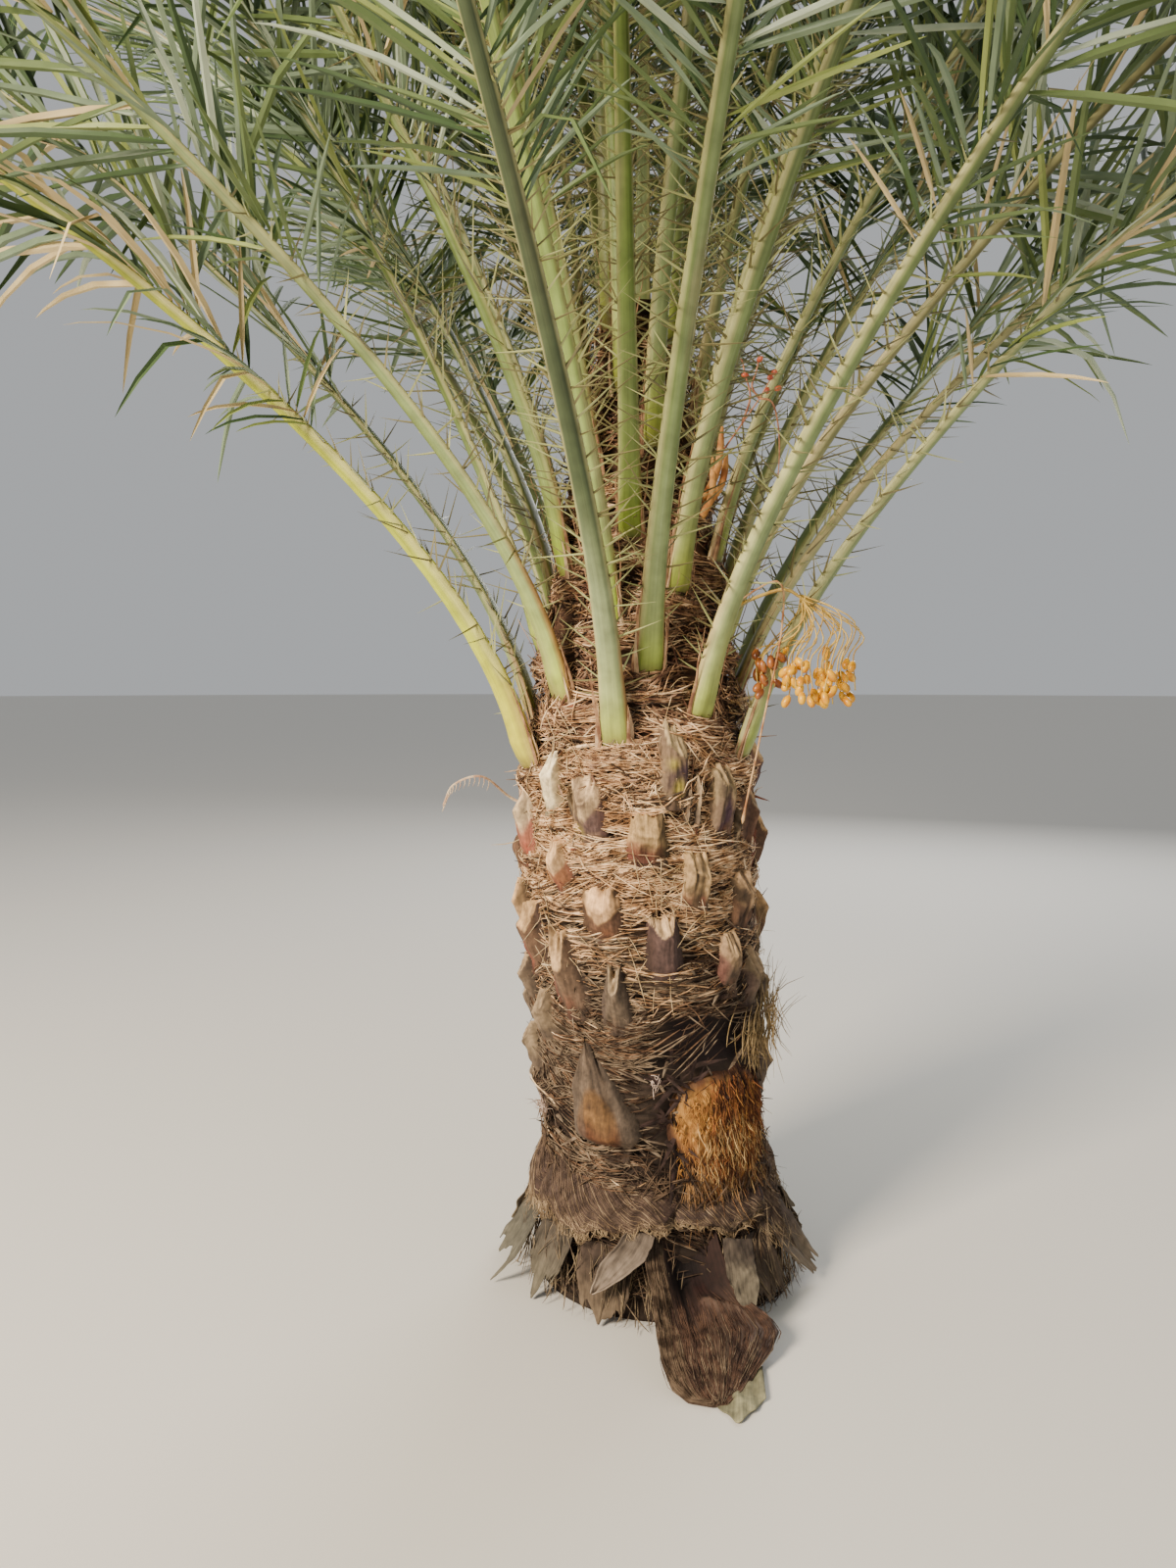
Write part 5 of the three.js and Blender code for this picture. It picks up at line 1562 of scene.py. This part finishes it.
def papery_margins(strips, seed, reach, wide):
    """Brown papery strips along both edges of each stalk's foot, what is left of its sheath: they
    stand off the edge by a few millimetres, wave, and end ragged after 60 to 260 mm."""
    paths, ups, widths = [], [], []
    count = 12
    taper = np.interp(np.linspace(0, 1, count), [0, 0.2, 0.6, 1], [1.1, 1, 0.6, 0.05])
    for form, line in zip(forms, lines):
        turn = default_rng(seed + form["n"])
        for hand in np.repeat([-1, 1], strips):
            s = np.linspace(-0.02, turn.uniform(*reach), count)
            row = at(line, np.maximum(s, 0))
            off = rib_half_width(np.maximum(s, 0), form) * turn.uniform(0.86, 1.0) + 0.002
            off = off + 0.0025 * np.sin(s * turn.uniform(30, 70) + turn.uniform(0, 6))
            off = off + turn.uniform(0, 0.03) * np.clip(s * 5, 0, 1) ** 2
            point = row["point"] + row["ahead"] * np.minimum(s, 0)[:, None]
            point = point + row["side"] * (hand * off)[:, None]
            paths.append(point + row["under"] * turn.uniform(0.004, 0.024))
            ups.append(row["side"] * hand * turn.uniform(0.2, 1) + row["under"])
            widths.append(turn.uniform(*wide) * taper)
    return tubes(np.array(paths), np.array(ups), np.array(widths), 0.0007)


for name, tones, values in [
    ("papery_margins", ("#A88462", "#6E4C38"), (2, 1900, (0.04, 0.26), (0.003, 0.007))),
    ("pale_papery_margins", ("#CDB08A", "#94745A"), (2, 1960, (0.02, 0.12), (0.003, 0.008))),
]:
    add_fibres(name, papery_margins(*values), "torn_" + name, tones, shaded_smooth=False)


# Fruit

def curve_points(knots, count=24):
    """A smooth line through a few points (Catmull-Rom), evenly sampled in its parameter."""
    p = np.array(knots, float)
    p = np.concatenate([[2 * p[0] - p[1]], p, [2 * p[-1] - p[-2]]])
    u = np.linspace(0, len(knots) - 1, count)
    i = np.minimum(u.astype(int), len(knots) - 2)
    f = (u - i)[:, None]
    a, b, c, d = p[i], p[i + 1], p[i + 2], p[i + 3]
    return 0.5 * (2 * b + (c - a) * f + (2 * a - 5 * b + 4 * c - d) * f ** 2
                  + (3 * b - a - 3 * c + d) * f ** 3)


def dates(centres, ways, length, width):
    """Dates: ovals of revolution about their own axis, -cos u along it and sin u round it, a little
    fuller towards the free end."""
    rows, sides = 9, 10
    u = np.linspace(0, math.pi, rows)[:, None]
    v = np.arange(sides) * 2 * math.pi / sides
    axis = unit(ways)
    first = unit(np.cross(axis, [0.31, 0.74, 0.59]))
    second = np.cross(axis, first)
    x = -np.cos(u) + 0 * v
    r = np.sin(u) * (1 + 0.10 * x)
    centres, axis, first, second = [one[:, None, None] for one in (centres, axis, first, second)]
    length, width = length[:, None, None, None], width[:, None, None, None]
    ring = (centres + axis * (x * 0.5)[None, ..., None] * length
            + (first * np.cos(v)[:, None] + second * np.sin(v)[:, None]) * (r[None, ..., None] * width / 2))
    base = (np.arange(len(centres)) * rows * sides)[:, None, None, None]
    return ring.reshape(-1, 3), [(grid_faces(rows, sides, wrap=True)[None] + base).reshape(-1, 4)]


# The bunch: where its stalk ends, then each group of strands by how far to the right and how high its
# middle ends, its spread and its number. Strands that end left of RUSSET_SIDE carry russet dates.
HUB = np.array([0.275, -0.2, 1.512])
BUNCH_GROUPS = [
    (0.208, 1.325, 0.014, 5), (0.262, 1.350, 0.018, 6), (0.315, 1.335, 0.024, 9), (0.352, 1.320, 0.020, 7),
]
RUSSET_SIDE = 0.232


def fruit_bunch():
    """The bunch under the lowest right frond: a flat stalk arches out of the crown, and thin
    strands fan from its end, arch over and hang, each with a few dates near its end."""
    turn = default_rng(31)
    stalk = [on_trunk(58, 1.43, 0.0), on_trunk(62, 1.49, 0.045), [0.232, -0.185, 1.528], HUB]
    stem = tubes(curve_points(stalk, 18)[None], np.array([0, 0, 1.0]), np.linspace(0.007, 0.005, 18)[None],
                 np.linspace(0.004, 0.0035, 18)[None], 8)
    ends = [(x + turn.normal(0, spread), -0.2 + turn.normal(0, 0.045), z + turn.normal(0, 0.018))
            for x, z, spread, count in BUNCH_GROUPS for _ in range(count)]
    paths, spots, ways, reds = [], [], [], []
    for end in np.array(ends):
        over = (HUB + end) / 2
        over[0] += 0.03 + 0.35 * max(end[0] - HUB[0], 0)
        over[1] += turn.normal(0, 0.012)
        over[2] = HUB[2] - 0.035 - 0.05 * turn.random()
        line = curve_points([HUB + turn.normal(0, 0.004, 3), over, end + [0, 0, 0.06],
                             end + [turn.normal(0, 0.006), 0, -0.012]], 16)
        paths.append(line)
        for place in turn.choice([10, 11, 12, 13, 14, 15], turn.integers(1, 4), replace=False):
            way = unit(np.array([turn.normal(0, 0.6), turn.normal(0, 0.6), -0.9]))
            spots.append(line[place] + way * 0.012)
            ways.append(way)
            reds.append(end[0] < RUSSET_SIDE)
    strands = tubes(np.array(paths), np.array([0.2, -1.0, 0.3]), 0.0016, 0.0012, 5)
    return joined([stem, strands]), np.array(spots), np.array(ways), np.array(reds)


bunch, spots, ways, reds = fruit_bunch()
add_fibres("fruit_stalks", bunch, "ripening_fruit_stalk", ("#CDAE5A", "#A88640"), 0.5)


def fruit_material(name, code, shade):
    """Date skin: firm, waxy and slightly mottled, with a soft clear shine."""
    made, tree, out = new_material(name)
    place = add(tree, "ShaderNodeTexCoord").outputs["Object"]
    mottle = add(tree, "ShaderNodeTexNoise", {"Vector": place, "Scale": 60.0, "Detail": 4.0})
    ramp = add(tree, "ShaderNodeValToRGB", {"Fac": mottle.outputs["Fac"]}, stops=[(0.36, shade), (0.6, code)])
    skin = add(tree, "ShaderNodeBsdfPrincipled", {
        "Base Color": ramp.outputs["Color"], "Roughness": 0.34, "IOR": 1.45, "Specular IOR Level": 0.5,
        "Coat Weight": 0.15, "Coat Roughness": 0.3})
    tree.links.new(skin.outputs["BSDF"], out.inputs["Surface"])
    return made


# Four flower stalks cut off short in the crown: flat, thicker in their middle than at their foot.
cut_ends = [
    [on_trunk(58, 1.70, 0.0), (0.102, -0.160, 1.770), (0.112, -0.175, 1.860)],
    [on_trunk(50, 1.66, 0.0), (0.092, -0.150, 1.720), (0.094, -0.165, 1.800)],
    [on_trunk(16, 1.70, 0.0), (-0.004, -0.175, 1.750), (-0.016, -0.190, 1.810)],
    [on_trunk(64, 1.70, 0.0), (0.112, -0.140, 1.745), (0.124, -0.150, 1.810)],
]
cut_stalks = tubes(np.array([curve_points(k, 12) for k in cut_ends]), np.array([0.2, -1.0, 0.2]),
                   np.interp(np.arange(12), [0, 3, 9, 11], [0.006, 0.009, 0.008, 0.003]), 0.003, 6)
add_fibres("cut_flower_stalks", cut_stalks, "dry_flower_stalk", ("#D09858", "#9A6034"), 0.7)

# Dates: 29 mm long and 17.5 mm wide, give or take a tenth.
sizes = default_rng(32).uniform(0.9, 1.1, len(spots))
for name, chosen, material in [
    ("yellow_dates", ~reds, fruit_material("ripening_date_skin", "#E6AC00", "#C47E02")),
    ("russet_dates", reds, fruit_material("russet_date_skin", "#9A5C26", "#68381E")),
]:
    fruit = dates(spots[chosen], ways[chosen], 0.029 * sizes[chosen], 0.0175 * sizes[chosen])
    make_piece(name, fruit, material)

# The old, dry fruit stalk inside the crown: its stem and three branches, and six dates shrunk to
# 16 by 11 mm on it.
branches = [
    [on_trunk(50, 1.70, 0.0), on_trunk(55, 1.79, 0.06), (0.150, -0.2, 1.86), (0.184, -0.2, 1.909),
     (0.213, -0.2, 1.960)],
    [(0.150, -0.2, 1.86), (0.165, -0.21, 1.91), (0.155, -0.2, 1.955), (0.150, -0.19, 1.985),
     (0.145, -0.19, 1.99)],
    [(0.184, -0.2, 1.909), (0.208, -0.21, 1.900), (0.222, -0.2, 1.860), (0.226, -0.2, 1.80),
     (0.222, -0.2, 1.73)],
    [(0.184, -0.2, 1.909), (0.168, -0.21, 1.93), (0.176, -0.2, 1.958), (0.180, -0.2, 1.975),
     (0.182, -0.2, 1.99)],
]
old_stalk = tubes(np.array([curve_points(k, 16) for k in branches]), np.array([0.2, -1.0, 0.2]),
                  np.linspace(0.0026, 0.0011, 16), np.linspace(0.002, 0.001, 16), 5)
add_fibres("old_fruit_stalk", old_stalk, "dried_fruit_stalk", ("#C08A68", "#8E5A44"), 0.6)
spots = np.array([
    (0.213, -0.2, 1.960), (0.205, -0.208, 1.948), (0.222, -0.195, 1.93), (0.155, -0.2, 1.955),
    (0.200, -0.2, 1.925), (0.184, -0.205, 1.985),
])
ways = default_rng(3).normal(size=spots.shape)
fruit = dates(spots, ways, np.full(len(spots), 0.016), np.full(len(spots), 0.011))
make_piece("old_dry_fruit", fruit, fruit_material("dried_fruit_skin", "#D06A40", "#9A4030"))

# The thin dry stalk that hangs in front of the trunk's right side, with a wider bract near its end.
hanging = curve_points([
    on_trunk(62, 1.47, 0.0), (0.222, -0.2, 1.545), (0.236, -0.2, 1.45), (0.205, -0.2, 1.28),
    (0.186, -0.2, 1.18), (0.168, -0.2, 1.09), (0.160, -0.2, 1.045),
], 30)
width = np.interp(np.arange(30), [0, 18, 25, 28, 29], [0.0024, 0.0022, 0.0024, 0.0042, 0.001])
hanging = tubes(hanging[None], np.array([0, -1.0, 0]), width[None], 0.0022, 6)
add_fibres("hanging_dry_stalk", hanging, "dry_bracket_stalk", ("#C4A074", "#94603C"), 0.7)


def comb():
    """The dried comb on the left edge: a thin stem that arches out and down, with short teeth on its
    outer half."""
    line = curve_points([
        on_trunk(-76, 1.06, 0.0), on_trunk(-78, 1.085, 0.05), (-0.395, -0.12, 1.135), (-0.455, -0.13, 1.118),
        (-0.478, -0.13, 1.075),
    ], 26)
    teeth = np.arange(11, 26)
    root = line[teeth]
    tip = root + np.array([-0.004, -0.004, -0.024]) * np.linspace(1, 0.7, len(teeth))[:, None]
    short = np.stack([root, (root + tip) / 2 + [0.002, 0, 0], tip], 1)
    stem = tubes(line[None], np.array([0, -1.0, 0.2]), np.linspace(0.0034, 0.0016, 26)[None], 0.0016, 5)
    return joined([stem, tubes(short, np.array([0, -1.0, 0]), np.array([0.0014, 0.0011, 0.0003]), 0.0007)])


add_fibres("dried_comb", comb(), "dried_comb_stalk", ("#D6C0A0", "#B08A70"), shaded_smooth=False)


# Camera, floor and light. Metres, degrees, millimetres of lens and watts.

CAMERA_PLACE = (-0.06, -2.65, 1.35)
CAMERA_PITCH = 5.2
CAMERA_YAW = 2.38
CAMERA_LENS = 27.05
FLOOR_RADIUS = 90

# The camera looks along +Y, tilted down by its pitch and turned left by its yaw.
camera = bpy.data.objects.new("camera", bpy.data.cameras.new("camera"))
camera.location = CAMERA_PLACE
camera.rotation_euler = Euler((math.radians(90 - CAMERA_PITCH), 0, math.radians(CAMERA_YAW)))
camera.data.lens = CAMERA_LENS
camera.data.clip_end = 100
bpy.context.scene.collection.objects.link(camera)
bpy.context.scene.camera = camera


def lamp(name, place, aim, size, power, code):
    """A soft square lamp at a place, turned towards a point."""
    data = bpy.data.lights.new(name, "AREA")
    data.shape, data.size, data.energy = "SQUARE", size, power
    data.color = tuple(linear(code))
    made = bpy.data.objects.new(name, data)
    made.location = place
    way = np.array(aim) - np.array(place)
    tilt = math.atan2(math.hypot(way[0], way[1]), -way[2])
    made.rotation_euler = Euler((tilt, 0, math.atan2(way[1], way[0]) - math.pi / 2))
    bpy.context.scene.collection.objects.link(made)


lamp("key", (-4.6, -5.2, 4.4), (0, 0, 1.1), 2.2, 1300, "#FFEFD8")
lamp("fill", (5.0, -5.0, 2.2), (0, 0, 1.0), 4.0, 40, "#F2F6FF")
lamp("back", (2.5, 6.5, 5.0), (0, 0, 2.0), 4.0, 380, "#FFFFFF")

world = bpy.data.worlds.new("pale_studio")
bpy.context.scene.world = world
world.use_nodes = True
world.node_tree.nodes["Background"].inputs["Color"].default_value = paint("#EEF1F4")
world.node_tree.nodes["Background"].inputs["Strength"].default_value = 0.52

floor_mesh = bpy.data.meshes.new("floor")
rim = heading(np.arange(0, 360, 4)) * FLOOR_RADIUS
floor_mesh.from_pydata(rim.tolist(), [], [list(range(len(rim)))])
floor = bpy.data.objects.new("floor", floor_mesh)
bpy.context.scene.collection.objects.link(floor)
# Plain matt floor: it gives the tree a soft shadow to stand on.
pale, tree, out = new_material("pale_studio_floor")
tree.links.new(add(tree, "ShaderNodeBsdfPrincipled", {
    "Base Color": paint("#DAD6CE"), "Roughness": 0.9}).outputs["BSDF"], out.inputs["Surface"])
floor_mesh.materials.append(pale)
